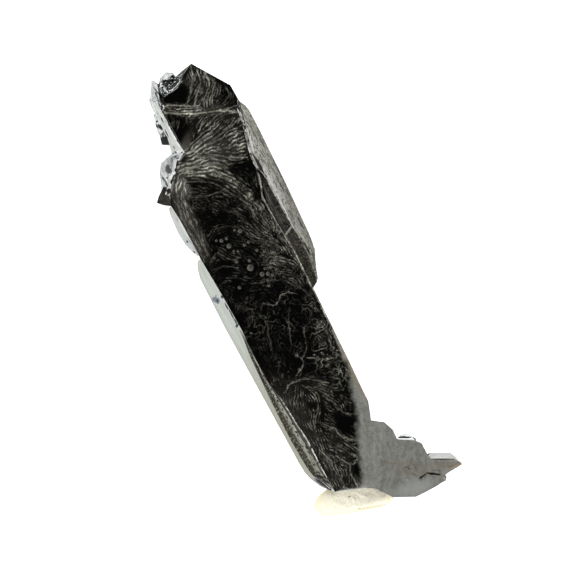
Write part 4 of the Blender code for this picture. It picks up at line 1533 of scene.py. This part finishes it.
@dataclass
class RightSide:
    """The long bevel and the terrace beside the basal face, on the fan's side."""

    end: Dip = Dip((2.20, 4.30), (3.20, 4.95), 3.95, 20.0)
    lower: tuple[Point, Point] = ((3.24, 5.00), (3.08, 13.20))
    upper: tuple[Point, Point] = ((2.78, 12.80), (3.92, 19.10))
    right_bevel: FacetSkin = FacetSkin(
        "right_bevel",
        left=(
            (3.02, -0.60), (3.04, -0.11), (3.28, 1.99), (3.24, 3.69), (3.15, 5.08), (3.03, 6.60),
            (3.00, 7.72), (2.94, 9.69), (2.88, 11.30), (2.62, 11.90), (2.48, 12.60), (2.55, 13.60),
            (2.84, 14.90), (3.29, 16.84), (3.43, 18.12), (3.88, 19.04),
        ),
        right=(
            (3.10, -0.64), (3.58, 0.85), (4.17, 2.20), (4.35, 3.90), (4.51, 9.50), (4.52, 13.20),
            (4.53, 15.20), (4.48, 17.60), (4.30, 18.28), (3.95, 18.97),
        ),
        blocks=(
            (Dip(*lower, 3.95, RHOMB), Dip(*lower, 3.96, 24.0), end),
            (Dip(*upper, 4.24, RHOMB), Dip(*upper, 4.25, 20.0)),
        ),
        # partly painted reflection: lighter than the basal face, the lights give the rest
        finish=StripFinish(
            "right_satin", SATIN_BANDS, speck=(0.05, 0.048, 0.034), specks=1.0, waver=0.7, shade=0.7, dim=0.6,
            far=(0.075, 0.072, 0.056), pale=(0.34, 0.34, 0.32), glint=0.5,
        ),
        marks=(
            Mark((3.62, 18.2), (0.08, 0.35), 0, 2.4), Mark((3.90, 18.6), (0.12, 0.14), 0, 2.2),
            Mark((3.34, 16.3), (0.08, 0.22), 0, 2.4), Mark((3.60, 17.1), (0.07, 0.18), 0, 2.2),
            Mark((3.06, 14.9), (0.08, 0.14), 0, 2.2), Mark((2.92, 12.35), (0.13, 0.95), 3, 3.2),
            Mark((3.75, 16.6), (0.06, 0.20), 20, 1.6), Mark((3.5, 15.6), (0.06, 0.25), -14, 1.5),
            Mark((3.9, 15.2), (0.05, 0.9), 0, 0.9), Mark((4.2, 14.0), (0.05, 0.8), 0, 0.9),
            Mark((3.7, 13.2), (0.06, 0.5), 0, 0.9), Mark((3.95, 9.6), (0.07, 0.9), 0, 0.9),
            Mark((4.25, 8.2), (0.06, 0.8), 0, 0.9), Mark((3.65, 6.4), (0.05, 0.7), 0, 0.8),
            Mark((4.05, 5.2), (0.08, 0.8), 0, 0.9), Mark((3.50, 2.6), (0.10, 0.8), 0, 0.9),
            Mark((3.22, 8.2), (0.05, 3.6), 0, -0.8), Mark((3.2, 14.6), (0.15, 1.6), -10, -0.6),
            Mark((4.42, 11.0), (0.05, 1.5), 0, 0.8),
        ),
        columns=44,
        wave=0.03,
        grit=0.02,
    )
    terrace_top: FacetSkin = FacetSkin(
        "terrace_top",
        left=((2.10, 4.45), (1.90, 8.34), (2.20, 9.89), (2.40, 12.60)),
        right=((3.22, 5.05), (3.14, 8.34), (3.10, 9.89), (3.04, 12.60)),
        blocks=(
            (flat(3.95),),
            (flat(4.25), Dip((2.30, 4.00), (2.38, 12.00), 4.25, 75.0)),
        ),
        finish=StripFinish(
            "terrace_dark",
            (
                (0.0, (0.014, 0.013, 0.012)),
                (0.3, (0.058, 0.056, 0.046)),
                (0.6, (0.024, 0.021, 0.014)),
                (1.0, (0.080, 0.077, 0.060)),
            ),
            speck=(0.006, 0.006, 0.005),
            pale=(0.20, 0.20, 0.17),
            metallic=0.0,
            rough=0.5,
            gloss=0.1,
            specks=1.0,
            glint=0.25,
            waver=1.0,
            shade=0.9,
        ),
        marks=(
            Mark((2.72, 11.7), (0.14, 0.95), 0, 3.0), Mark((2.5, 5.0), (0.08, 0.45), -58, -1.3),
            Mark((2.85, 5.15), (0.08, 0.40), -58, -1.3), Mark((2.4, 9.0), (0.2, 1.0), 0, -0.25),
        ),
        wave=0.01,
        grit=0.03,
        seed=291,
    )
    terrace_end: FacetSkin = FacetSkin(
        "terrace_end",
        left=((2.32, -1.12), (2.40, -0.34), (2.33, 2.27), (2.15, 4.30)),
        right=((2.95, -0.74), (3.06, -0.11), (3.29, 1.99), (3.26, 3.69), (3.20, 4.90)),
        blocks=((end,),),
        finish=StripFinish(
            "terrace_olive",
            (
                (0.0, (0.010, 0.010, 0.008)),
                (0.35, (0.032, 0.028, 0.018)),
                (0.7, (0.016, 0.014, 0.009)),
                (1.0, (0.050, 0.046, 0.030)),
            ),
            speck=(0.008, 0.007, 0.005),
            metallic=0.0,
            rough=0.55,
            gloss=0.1,
            specks=0.95,
            waver=1.0,
            shade=0.8,
            pale=(0.17, 0.16, 0.12),
            glint=0.5,
        ),
        marks=(Mark((2.62, 4.2), (0.35, 0.25), 0, 1.0),),
        wave=0.02,
        grit=0.02,
        seed=391,
    )

    def build(self) -> list[bpy.types.Object]:
        """Builds each face.

        Returns:
            The pieces.
        """
        faces = (self.right_bevel, self.terrace_top, self.terrace_end)
        return [face.build() for face in faces]


@dataclass
class LeftSide:
    """The silver bevels, the olive strip and the etched lumps on the other side."""

    left_bevel: FacetSkin = FacetSkin(
        "left_bevel",
        left=(
            (-5.14, -20.20), (-5.94, -19.30), (-6.46, -18.30), (-6.72, -17.47), (-6.83, -16.35),
            (-7.40, -0.80), (-7.43, 4.70), (-7.20, 5.70), (-6.88, 6.32),
        ),
        right=(
            (-5.05, -19.90), (-5.55, -18.72), (-5.95, -18.10), (-6.10, -17.25), (-6.20, -15.73),
            (-6.20, -9.00), (-6.00, -1.77), (-6.20, 2.16), (-6.50, 6.32),
        ),
        blocks=(
            (
                Dip((-6.50, 6.50), (-5.98, -7.50), 4.26, RHOMB),
                Dip((-5.98, -7.50), (-5.35, -16.00), 3.80, RHOMB),
            ),
        ),
        # partly painted reflection: lighter than the basal face, the lights give the rest
        finish=StripFinish(
            "left_silver",
            (
                (0.0, (0.29, 0.305, 0.275)),
                (0.3, (0.325, 0.345, 0.32)),
                (0.7, (0.30, 0.32, 0.295)),
                (1.0, (0.34, 0.36, 0.335)),
            ),
            speck=(0.22, 0.23, 0.18),
            dark=(0.10, 0.11, 0.14),
            dim=0.9,
            far=(0.225, 0.222, 0.178),
            metallic=0.95,
            rough=0.16,
            specks=0.0,
            waver=0.5,
            shade=0.25,
        ),
        marks=(
            Mark((-7.02, 2.14), (0.40, 0.27), -50, 0.85), Mark((-6.84, 1.90), (0.18, 0.32), -20, 0.85),
            Mark((-6.78, 2.45), (0.14, 0.10), 0, 0.5), Mark((-6.27, 2.07), (0.10, 0.16), 0, 2.6),
            Mark((-6.28, 1.05), (0.06, 0.34), 0, 3.4), Mark((-6.21, 0.15), (0.05, 0.55), 0, 3.4),
            Mark((-6.20, -1.15), (0.18, 0.10), 30, 3.4), Mark((-6.15, -0.70), (0.06, 0.22), 0, 3.2),
            Mark((-6.75, 0.5), (0.05, 0.5), 3, 0.3), Mark((-7.0, -3.5), (0.06, 0.8), 2, 0.3),
            Mark((-5.60, -19.20), (0.19, 0.90), 31, 2.6), Mark((-5.22, -19.95), (0.12, 0.25), 40, 2.6),
        ),
        streak=0.004,
        wave=0.02,
        grit=0.001,
        seed=491,
    )
    left_ledge: FacetSkin = FacetSkin(
        "left_ledge",
        left=(
            (-6.66, 6.85), (-7.00, 7.62), (-7.25, 8.38), (-7.36, 9.76), (-7.28, 11.73), (-7.12, 12.40),
        ),
        right=((-6.30, 6.95), (-6.20, 7.66), (-6.28, 8.38), (-6.40, 9.76), (-6.62, 11.73), (-6.70, 12.45)),
        blocks=((Dip((-6.79, 12.49), (-6.29, 7.66), 3.95, RHOMB),),),
        finish=StripFinish(
            "ledge_foil", SILVER_BANDS, speck=(0.20, 0.20, 0.19), metallic=0.95, rough=0.16, specks=0.2,
            waver=0.6, shade=0.4,
        ),
        marks=(
            Mark((-6.95, 8.60), (0.10, 0.10), 0, 1.6), Mark((-6.84, 7.30), (0.12, 0.12), 0, 1.6),
            Mark((-6.75, 9.60), (0.05, 1.6), 4, 1.0),
        ),
        columns=14,
        streak=0.006,
        grit=0.004,
        depth=1.5,
        seed=1491,
    )
    left_band: FacetSkin = FacetSkin(
        "left_band",
        left=(
            (-5.12, -19.90), (-5.66, -18.72), (-6.10, -18.05), (-6.28, -17.25), (-6.42, -15.73),
            (-6.55, -13.76), (-6.55, -9.29), (-6.44, -4.55), (-6.13, -1.60),
        ),
        right=(
            (-4.86, -20.10), (-4.95, -18.00), (-4.97, -14.70), (-5.28, -12.00), (-5.50, -9.80),
            (-6.04, -1.50),
        ),
        blocks=((Dip((-6.00, -1.00), (-4.90, -19.00), 4.28, 24.0),),),
        finish=StripFinish(
            "left_olive",
            (
                (0.0, (0.12, 0.12, 0.095)),
                (0.06, (0.013, 0.012, 0.007)),
                (0.36, (0.022, 0.020, 0.012)),
                (0.48, (0.20, 0.20, 0.165)),
                (0.68, (0.22, 0.22, 0.185)),
                (0.76, (0.035, 0.034, 0.024)),
                (0.88, (0.05, 0.05, 0.038)),
                (0.95, (0.46, 0.46, 0.42)),
            ),
            speck=(0.018, 0.017, 0.010),
            metallic=0.8,
            rough=0.3,
            specks=0.95,
            waver=0.10,
            shade=0.5,
            pale=(0.34, 0.34, 0.29),
            glint=0.4,
        ),
        marks=(
            Mark((-5.55, -18.35), (0.50, 0.14), -38, 1.4), Mark((-5.15, -19.15), (0.35, 0.10), -50, 1.2),
            Mark((-5.90, -5.0), (0.06, 3.0), 4, -0.6),
        ),
        streak=0.03,
        grit=0.03,
        depth=1.3,
        seed=591,
    )
    upper_left_bevel: FacetSkin = FacetSkin(
        "upper_left_bevel",
        left=((-4.47, 16.92), (-4.29, 17.73), (-4.09, 18.62), (-4.12, 19.98), (-4.15, 21.91), (-3.94, 22.60)),
        right=((-3.15, 16.54), (-3.31, 17.91), (-3.36, 19.61), (-3.40, 21.48), (-3.40, 22.50)),
        blocks=((Dip((-3.20, 24.00), (-3.10, 15.00), 4.31, 31.0),),),
        depth=1.3,
        finish=StripFinish(
            "upper_left_silver", SILVER_BANDS, speck=(0.16, 0.16, 0.14), metallic=0.95, rough=0.16,
            specks=0.45, waver=0.6, shade=0.5,
        ),
        marks=(
            Mark((-3.95, 19.2), (0.08, 0.5), 0, 0.6), Mark((-3.75, 20.6), (0.07, 0.35), 0, 0.6),
            Mark((-3.9, 17.6), (0.10, 0.2), 0, 0.5), Mark((-3.42, 18.6), (0.04, 1.6), 4, -0.8),
            Mark((-3.30, 19.2), (0.035, 2.6), 1, 0.8), Mark((-3.50, 16.78), (0.16, 0.07), 30, 1.6),
            Mark((-3.98, 17.10), (0.06, 0.16), 30, 1.4), Mark((-3.74, 17.02), (0.06, 0.10), 0, -1.4),
            Mark((-4.28, 17.10), (0.14, 0.12), 0, 0.6), Mark((-3.30, 16.66), (0.05, 0.05), 0, -1.4),
        ),
        wave=0.04,
        grit=0.03,
        seed=691,
    )
    side_tooth: FacetSkin = FacetSkin(
        "side_tooth",
        left=((-4.25, 18.02), (-4.89, 18.40), (-4.66, 19.38), (-4.40, 19.46)),
        right=((-4.00, 18.10), (-3.95, 18.40), (-3.95, 19.30), (-3.98, 19.58)),
        blocks=((flat(3.71),),),
        finish=StripFinish(
            "tooth_foil", ((0.0, (0.36, 0.37, 0.36)), (1.0, (0.50, 0.51, 0.50))), speck=(0.12, 0.12, 0.11),
            metallic=0.0, rough=0.4, specks=0.7, waver=0.6, shade=0.5,
        ),
        marks=(
            Mark((-4.43, 18.62), (0.46, 0.36), -26, 3.2), Mark((-4.10, 18.35), (0.22, 0.22), 0, 3.0),
            Mark((-4.30, 19.25), (0.07, 0.20), -30, 2.4), Mark((-4.10, 19.05), (0.06, 0.16), 20, 2.0),
        ),
        columns=22,
        pitch=0.06,
        grit=0.04,
        etched=True,
        seed=1191,
    )
    side_block: FacetSkin = FacetSkin(
        "side_block",
        left=((-4.46, 18.72), (-4.66, 19.25), (-4.72, 19.92), (-4.54, 20.72), (-4.32, 20.99)),
        right=((-4.00, 18.70), (-4.00, 19.30), (-4.02, 19.92), (-4.02, 20.60), (-3.98, 20.95)),
        blocks=((Dip((-4.00, 21.00), (-4.00, 18.60), 3.60, 40.0),),),
        finish=StripFinish(
            "block_foil", FOIL_BANDS, speck=(0.07, 0.07, 0.068), metallic=0.95, rough=0.14, specks=0.7,
            waver=0.9, shade=0.6,
        ),
        marks=(
            Mark((-4.25, 20.05), (0.14, 0.34), 10, 1.8), Mark((-4.22, 19.35), (0.20, 0.18), 0, 1.5),
            Mark((-4.50, 20.30), (0.08, 0.30), 0, 0.9), Mark((-4.45, 19.60), (0.07, 0.26), 20, -1.0),
            Mark((-4.30, 20.70), (0.12, 0.10), 0, 1.2),
        ),
        columns=24,
        pitch=0.05,
        lumps=0.12,
        grit=0.05,
        depth=1.2,
        etched=True,
        seed=1591,
    )
    shoulder_lobe: FacetSkin = FacetSkin(
        "shoulder_lobe",
        left=((-6.77, 13.65), (-6.97, 14.37), (-6.37, 16.08), (-5.82, 16.87), (-5.21, 17.01), (-4.34, 17.19)),
        right=(
            (-6.30, 13.34), (-5.55, 14.39), (-4.62, 15.29), (-3.95, 16.16), (-3.50, 16.47), (-3.11, 16.63),
        ),
        blocks=(
            (
                Dip((-3.10, 16.62), (-6.66, 12.54), 4.30, 46.0),
                Dip((-4.20, 16.60), (-6.80, 13.80), 3.35, 61.2),
            ),
        ),
        finish=StripFinish(
            "shoulder_foil", FOIL_BANDS, speck=(0.08, 0.08, 0.078), metallic=0.95, rough=0.12, specks=0.3,
            waver=0.9, shade=0.6,
        ),
        # marks below 0 are painted highlights on the lumps
        marks=(
            Mark((-5.41, 16.16), (0.30, 0.20), 50, 1.2), Mark((-5.37, 15.70), (0.24, 0.26), 20, 1.2),
            Mark((-5.62, 15.86), (0.16, 0.22), 0, 0.9), Mark((-5.52, 15.06), (0.22, 0.20), 20, -1.2),
            Mark((-5.98, 15.42), (0.16, 0.10), 30, -1.2), Mark((-6.06, 14.98), (0.08, 0.24), 0, -1.2),
            Mark((-5.90, 15.22), (0.07, 0.07), 0, 2.4), Mark((-6.28, 15.24), (0.07, 0.26), 10, 3.0),
            Mark((-6.22, 14.70), (0.07, 0.30), -4, 3.0), Mark((-4.66, 16.66), (0.22, 0.30), -30, 0.5),
            Mark((-4.95, 16.10), (0.20, 0.40), -30, 0.42), Mark((-4.56, 16.14), (0.045, 0.52), -38, -1.4),
            Mark((-4.36, 15.96), (0.10, 0.36), -38, 3.2), Mark((-3.98, 16.28), (0.05, 0.24), -34, -1.4),
            Mark((-4.72, 15.52), (0.10, 0.20), -38, 2.6), Mark((-5.30, 14.98), (0.10, 0.28), -42, 2.8),
            Mark((-5.60, 14.62), (0.20, 0.16), 40, 3.0), Mark((-6.32, 13.92), (0.20, 0.26), -40, 3.0),
            Mark((-6.66, 13.72), (0.12, 0.10), 0, 1.0), Mark((-5.10, 15.25), (0.06, 0.20), -40, -1.2),
        ),
        columns=34,
        pitch=0.06,
        streak=0.01,
        lumps=0.34,
        grit=0.05,
        depth=0.6,
        etched=True,
        seed=791,
    )

    def build(self) -> list[bpy.types.Object]:
        """Builds each face.

        Returns:
            The pieces.
        """
        faces = (
            self.left_bevel, self.left_ledge, self.left_band, self.upper_left_bevel,
            self.side_tooth, self.side_block, self.shoulder_lobe,
        )
        return [face.build() for face in faces]


@dataclass
class Crown:
    """The ragged silver points at the upper end."""

    crown_foil: FacetSkin = FacetSkin(
        "crown_foil",
        left=((-2.36, 22.63), (-2.56, 23.12), (-2.51, 23.65), (-2.22, 24.01), (-1.87, 24.17), (-1.36, 24.62)),
        right=(
            (-2.15, 22.58), (-1.57, 22.74), (-0.90, 22.96), (-0.30, 23.28), (-0.36, 23.72), (-0.76, 24.28),
        ),
        blocks=((flat(4.38), Dip((-0.90, 24.20), (-2.30, 24.00), 4.34, 40.0)),),
        finish=StripFinish(
            "crown_silver", FOIL_BANDS, speck=(0.08, 0.08, 0.075), metallic=0.95, rough=0.12, specks=0.3,
            waver=0.8, shade=0.5,
        ),
        marks=(
            Mark((-1.9, 24.0), (0.35, 0.16), -20, 1.0), Mark((-1.25, 23.75), (0.40, 0.16), -30, 1.0),
            Mark((-0.85, 24.0), (0.2, 0.12), -30, 0.9), Mark((-1.3, 23.0), (0.7, 0.10), 20, -1.2),
            Mark((-2.1, 22.9), (0.3, 0.10), -50, -1.2), Mark((-0.6, 23.3), (0.3, 0.10), 30, -1.2),
        ),
        columns=44,
        pitch=0.045,
        streak=0.0,
        wave=0.0,
        lumps=0.16,
        grit=0.03,
        etched=True,
        seed=891,
    )
    crown_spur: FacetSkin = FacetSkin(
        "crown_spur",
        left=((-3.50, 22.36), (-3.83, 23.03), (-3.60, 23.60), (-3.25, 24.10), (-2.92, 24.70)),
        right=((-3.14, 22.40), (-2.95, 22.89), (-2.75, 23.50), (-2.60, 23.97), (-2.84, 24.55)),
        blocks=(
            (
                Dip((-3.00, 24.00), (-3.25, 22.80), 4.06, RHOMB),
                Dip((-2.40, 24.20), (-3.50, 23.60), 4.20, 44.0),
            ),
        ),
        finish=StripFinish(
            "spur_silver", SILVER_BANDS, speck=(0.2, 0.2, 0.19), metallic=0.95, rough=0.16, specks=0.2,
            waver=0.6,
        ),
        marks=(Mark((-3.45, 23.2), (0.12, 0.25), 0, 0.6), Mark((-2.93, 23.3), (0.06, 0.6), 14, 1.6)),
        pitch=0.06,
        lumps=0.10,
        grit=0.02,
        seed=991,
    )
    crown_column: FacetSkin = FacetSkin(
        "crown_column",
        left=((-3.45, 21.39), (-3.50, 22.06), (-3.40, 22.56), (-3.05, 23.03), (-2.74, 23.65)),
        right=((-3.05, 21.46), (-2.78, 22.00), (-2.60, 22.58), (-2.52, 23.07), (-2.40, 23.63)),
        blocks=((Dip((-2.60, 24.00), (-3.00, 21.00), 4.36, 12.0),),),
        finish=StripFinish(
            "column_silver", FOIL_BANDS, speck=(0.06, 0.06, 0.055), metallic=0.9, rough=0.16, specks=0.6,
            waver=0.9, shade=0.7,
        ),
        marks=(
            Mark((-2.80, 22.35), (0.24, 0.95), 8, 2.0), Mark((-2.58, 22.10), (0.05, 0.55), 8, -1.2),
            Mark((-3.05, 21.75), (0.08, 0.25), 0, -1.0),
        ),
        pitch=0.05,
        lumps=0.12,
        grit=0.06,
        etched=True,
        seed=1091,
    )

    def build(self) -> list[bpy.types.Object]:
        """Builds each face.

        Returns:
            The pieces.
        """
        faces = (self.crown_foil, self.crown_spur, self.crown_column)
        return [face.build() for face in faces]


@dataclass
class FanTip:
    """The small plates at the outer end of the fan."""

    tip_silver: FacetSkin = FacetSkin(
        "tip_silver",
        left=((4.86, -21.62), (5.06, -21.42), (5.40, -21.18)),
        right=((7.59, -23.10), (7.52, -22.66), (7.20, -22.08)),
        blocks=((Dip((7.40, -22.95), (4.90, -21.75), 3.86, 34.0),),),
        finish=StripFinish(
            "ledge_silver", ((0.0, (0.30, 0.31, 0.31)), (1.0, (0.27, 0.275, 0.26))), speck=(0.15, 0.15, 0.14),
            metallic=0.95, rough=0.2, specks=0.2, turn=-104.0,
        ),
        columns=50,
        pitch=0.06,
        crosswise=True,
        seed=1291,
    )
    sliver: FacetSkin = FacetSkin(
        "sliver",
        left=((2.98, -18.62), (3.22, -18.38), (3.52, -18.27)),
        right=((4.60, -19.36), (4.50, -18.86), (4.10, -18.36)),
        blocks=((Dip((4.50, -19.40), (3.00, -18.70), 3.82, 40.0),),),
        depth=0.6,
        finish=StripFinish(
            "sliver_silver", ((0.0, (0.42, 0.43, 0.43)), (1.0, (0.42, 0.43, 0.43))), speck=(0.3, 0.3, 0.3),
            metallic=0.95, rough=0.2, deep=(0.01, 0.01, 0.01), specks=0.0, turn=-104.0,
        ),
        marks=(Mark((3.76, -18.63), (0.60, 0.075), -27, 3.6),),
        columns=40,
        pitch=0.04,
        crosswise=True,
        etched=True,
        seed=1391,
    )

    def build(self) -> list[bpy.types.Object]:
        """Builds each face.

        Returns:
            The pieces.
        """
        faces = (self.tip_silver, self.sliver)
        return [face.build() for face in faces]


@dataclass(frozen=True)
class PuttyFinish:
    """Matt cream putty, darker and yellower towards its rim as painted shade."""

    name: str = "putty"
    # painted shade: the cream darkens and yellows from the middle out to the rim
    tones: tuple[tuple[float, Colour], ...] = (
        (0.0, (0.90, 0.86, 0.70)),
        (0.60, (0.84, 0.80, 0.64)),
        (0.80, (0.78, 0.74, 0.58)),
        (0.92, (0.68, 0.62, 0.44)),
        (1.0, (0.64, 0.57, 0.38)),
    )
    yellow: Colour = (0.62, 0.54, 0.35)
    # brown: crumbs, and painted shade in the creases
    brown: Colour = (0.42, 0.32, 0.19)

    def make(self) -> bpy.types.Material:
        """Builds the material.

        It reads the attributes out, 0 in the middle and 1 at the rim, and mark, 1 on a crease.

        Returns:
            The material.
        """
        graph = Graph(self.name)
        cloud = graph.grain(EVEN, 1.2, 4.0)
        fine = graph.grain(EVEN, 0.12, 4.0)
        place = graph.attribute("out") + 0.16 * (cloud - 0.5)
        # painted shade: darker and yellower towards the rim
        colour = graph.node("ShaderNodeValToRGB", {"stops": self.tones}, {"Fac": place}, out="Color")
        spots = graph.step(fine, 0.56, 0.70) * 0.45
        colour = graph.mix(spots, colour, self.yellow)
        crumbs = graph.step(graph.grain(EVEN, 0.2, 3.0), 0.68, 0.74) * 0.5
        colour = graph.mix(crumbs, colour, self.brown)
        # painted shade: the creases drawn brown
        colour = graph.mix(graph.attribute("mark") * (0.3 + fine), colour, self.brown)
        normal = graph.bump(fine, 0.02, 0.5)
        return graph.finish({"Base Color": colour, "Roughness": 0.6 + 0.2 * cloud, "Normal": normal})


@dataclass
class Putty:
    """The dab of putty under the thin end: a low lumpy loaf pressed up against the crystal."""

    outline: tuple[Point, ...] = (
        (-7.46, -21.40), (-7.48, -20.90), (-7.00, -20.45), (-6.30, -20.10), (-5.30, -19.90), (-4.40, -19.60),
        (-3.20, -19.60), (-1.80, -20.10), (-0.70, -21.00), (0.10, -22.20), (0.20, -23.30), (-0.12, -23.90),
        (-0.97, -24.02), (-2.61, -23.73), (-4.55, -23.15), (-6.45, -22.48), (-7.22, -21.99),
    )
    middle: Point = (-3.4, -21.8)
    height: float = 2.45
    rings: int = 80
    spokes: int = 300
    crease: float = 0.08
    lumps: tuple[tuple[float, float, int], ...] = ((1.5, 0.07, 101), (0.35, 0.035, 105), (0.1, 0.02, 109))
    # Creases: sunk a little, and drawn brown in the finish as painted shade
    marks: tuple[Mark, ...] = (
        Mark((-2.4, -23.45), (1.3, 0.10), -17, 0.9), Mark((-1.2, -23.80), (0.5, 0.07), -10, 0.8),
        Mark((-3.79, -21.52), (0.10, 0.10), 0, 1.3), Mark((-3.39, -23.06), (0.12, 0.08), 0, 1.3),
        Mark((-1.9, -20.9), (0.08, 0.05), 0, 0.8), Mark((-4.9, -22.75), (2.1, 0.22), -20, 0.28),
        Mark((-2.9, -20.3), (0.05, 0.07), 0, 0.9), Mark((-3.3, -21.9), (0.05, 0.05), 0, 0.9),
        Mark((-0.9, -21.9), (0.05, 0.06), 0, 0.8), Mark((-2.2, -22.9), (0.06, 0.04), 0, 0.9),
    )

    def build(self) -> bpy.types.Object:
        """A loaf over the outline, on rings and spokes from its middle.

        With r from 0 in the middle to 1 at the outline, it stands height (1 - r^7)^0.5 (1 + 0.35 lump) high,
        plus 0.5 lump (1 - r^6), less crease for each mark. The lump adds up noises, each of a size, a height
        and a seed.

        Returns:
            The piece.
        """
        reach, turn = self.reach()
        r = np.linspace(0, 1, self.rings + 1)[1:, None]
        x = self.middle[0] + r * reach * np.cos(turn)
        y = self.middle[1] + r * reach * np.sin(turn)
        mark = marked(self.marks, x, y)
        lump = sum(fractal(x, y, size, seed) * height for size, height, seed in self.lumps)
        loaf = self.height * np.sqrt(np.clip(1 - r**7, 0, 1))
        z = loaf * (1 + 0.35 * lump) + lump * 0.5 * (1 - r**6)
        points = np.stack([x, y, np.maximum(z - self.crease * mark, 0.0)], -1)
        crest = np.array([[*self.middle, points[0, :, 2].mean() + 0.005]])
        index = np.arange(self.rings * self.spokes).reshape(self.rings, self.spokes)
        after = np.roll(index, -1, 1)
        cells = np.stack([index[:-1], index[1:], after[1:], after[:-1]], -1).reshape(-1, 4)
        fan = np.stack([np.full(self.spokes, index.size), index[0], after[0]], -1)
        faces = cells.tolist() + fan.tolist() + [index[-1, ::-1].tolist()]
        numbers = {
            "out": np.append((r + 0 * x).ravel(), 0.0),
            "mark": np.append(np.clip(mark.ravel(), 0, 1), 0.0),
        }
        everything = np.vstack([points.reshape(-1, 3), crest])
        return make_piece("putty_dab", everything, faces, [PuttyFinish().make()], numbers)

    def reach(self) -> tuple[Array, Array]:
        """How far the outline is from the middle along each spoke, by the spoke's angle.

        Returns:
            The distances and the angles.
        """
        outline = np.array(self.outline)
        closed = curve(tuple(map(tuple, np.vstack([outline[-2:], outline, outline[:2]]))), 0.05)
        away = (closed - np.array(self.middle)).T
        swing = np.unwrap(np.arctan2(*away[::-1]))
        order = np.argsort(swing)
        turn = np.linspace(swing.min(), swing.min() + 2 * math.pi, self.spokes, endpoint=False)
        return np.interp(turn, swing[order], np.hypot(*away)[order]), turn


# The studio


@dataclass
class Studio:
    """The pale floor, the soft light all round and the camera straight above."""

    width: float = 57.5
    lens: float = 400.0
    sensor: float = 36.0
    roll: Point = (0.895, -0.446)
    light: float = 2.3
    table_glow: float = 0.55
    hood: float = 0.007
    hood_edge: float = 38.0
    hood_soft: float = 5.0
    focus: float = 4.3
    clip: Point = (0.01, 10.0)
    floor_side: float = 1500.0
    floor_gap: float = 0.02
    floor_cells: int = 8

    def build(self) -> None:
        """Makes the floor, the world and the camera."""
        self.floor()
        self.surround()
        self.camera()
        bpy.context.scene.view_settings.view_transform = "Standard"

    def floor(self) -> None:
        """A flat white sheet under the specimen."""
        side = np.linspace(-self.floor_side / 2, self.floor_side / 2, self.floor_cells + 1)
        x, y = np.meshgrid(side, side)
        cells = grid_cells(np.arange(x.size).reshape(x.shape))
        points = np.stack([x, y, np.full_like(x, -self.floor_gap)], -1).reshape(-1, 3)
        white, shade = (0.90, 0.90, 0.90), (0.89, 0.89, 0.89)
        finish = PlainFinish("floor", white, shade, size=4.0, rough=0.8, depth=0.001).make()
        shader = next(node for node in finish.node_tree.nodes if node.type == "BSDF_PRINCIPLED")
        shader.inputs["Emission Color"].default_value = (1.0, 1.0, 1.0, 1.0)
        shader.inputs["Emission Strength"].default_value = self.table_glow
        make_piece("floor", points, cells.tolist(), [finish])

    def surround(self) -> None:
        """An even bright surround, dark within the hood's edge of straight up, where the lens is."""
        world = bpy.data.worlds.new("studio")
        world.use_nodes = True
        bpy.context.scene.world = world
        nodes, links = world.node_tree.nodes, world.node_tree.links
        background = next(node for node in nodes if node.type == "BACKGROUND")
        kinds = ("ShaderNodeTexCoord", "ShaderNodeSeparateXYZ", "ShaderNodeMapRange")
        place, split, ramp = (nodes.new(kind) for kind in kinds)
        ramp.interpolation_type = "SMOOTHSTEP"
        background.inputs["Color"].default_value = (1.0, 1.0, 1.0, 1.0)
        links.new(place.outputs["Generated"], split.inputs[0])
        links.new(split.outputs["Z"], ramp.inputs["Value"])
        ramp.inputs["From Min"].default_value = math.cos(math.radians(self.hood_edge + self.hood_soft))
        ramp.inputs["From Max"].default_value = math.cos(math.radians(self.hood_edge - self.hood_soft))
        ramp.inputs["To Min"].default_value = self.light
        ramp.inputs["To Max"].default_value = self.hood
        links.new(ramp.outputs[0], background.inputs["Strength"])

    def camera(self) -> None:
        """A long lens looking straight down, turned so that the blade leans to the left."""
        data = bpy.data.cameras.new("camera")
        data.lens, data.sensor_width = self.lens, self.sensor
        data.clip_start, data.clip_end = self.clip
        made = bpy.data.objects.new("camera", data)
        bpy.context.scene.collection.objects.link(made)
        distance = self.width * self.lens / self.sensor
        made.location = (0.0, 0.0, (distance + self.focus) * MM)
        made.rotation_euler = (0.0, 0.0, math.atan2(self.roll[1], self.roll[0]))
        bpy.context.scene.camera = made


def main() -> None:
    """Builds the studio and the specimen, piece by piece."""
    logging.basicConfig(level=logging.INFO, format="%(message)s")
    Studio().build()
    settle(CrystalBody().build(), "hematite", "hematite")
    for side in (RightSide(), LeftSide(), Crown(), FanTip()):
        for piece in side.build():
            settle(piece, "hematite")
    for piece in BasalFace().build(GrowthLines()):
        settle(piece, "hematite")
    settle(Putty().build(), "mounting_putty", "mounting_putty")


if __name__ == "__main__":
    main()
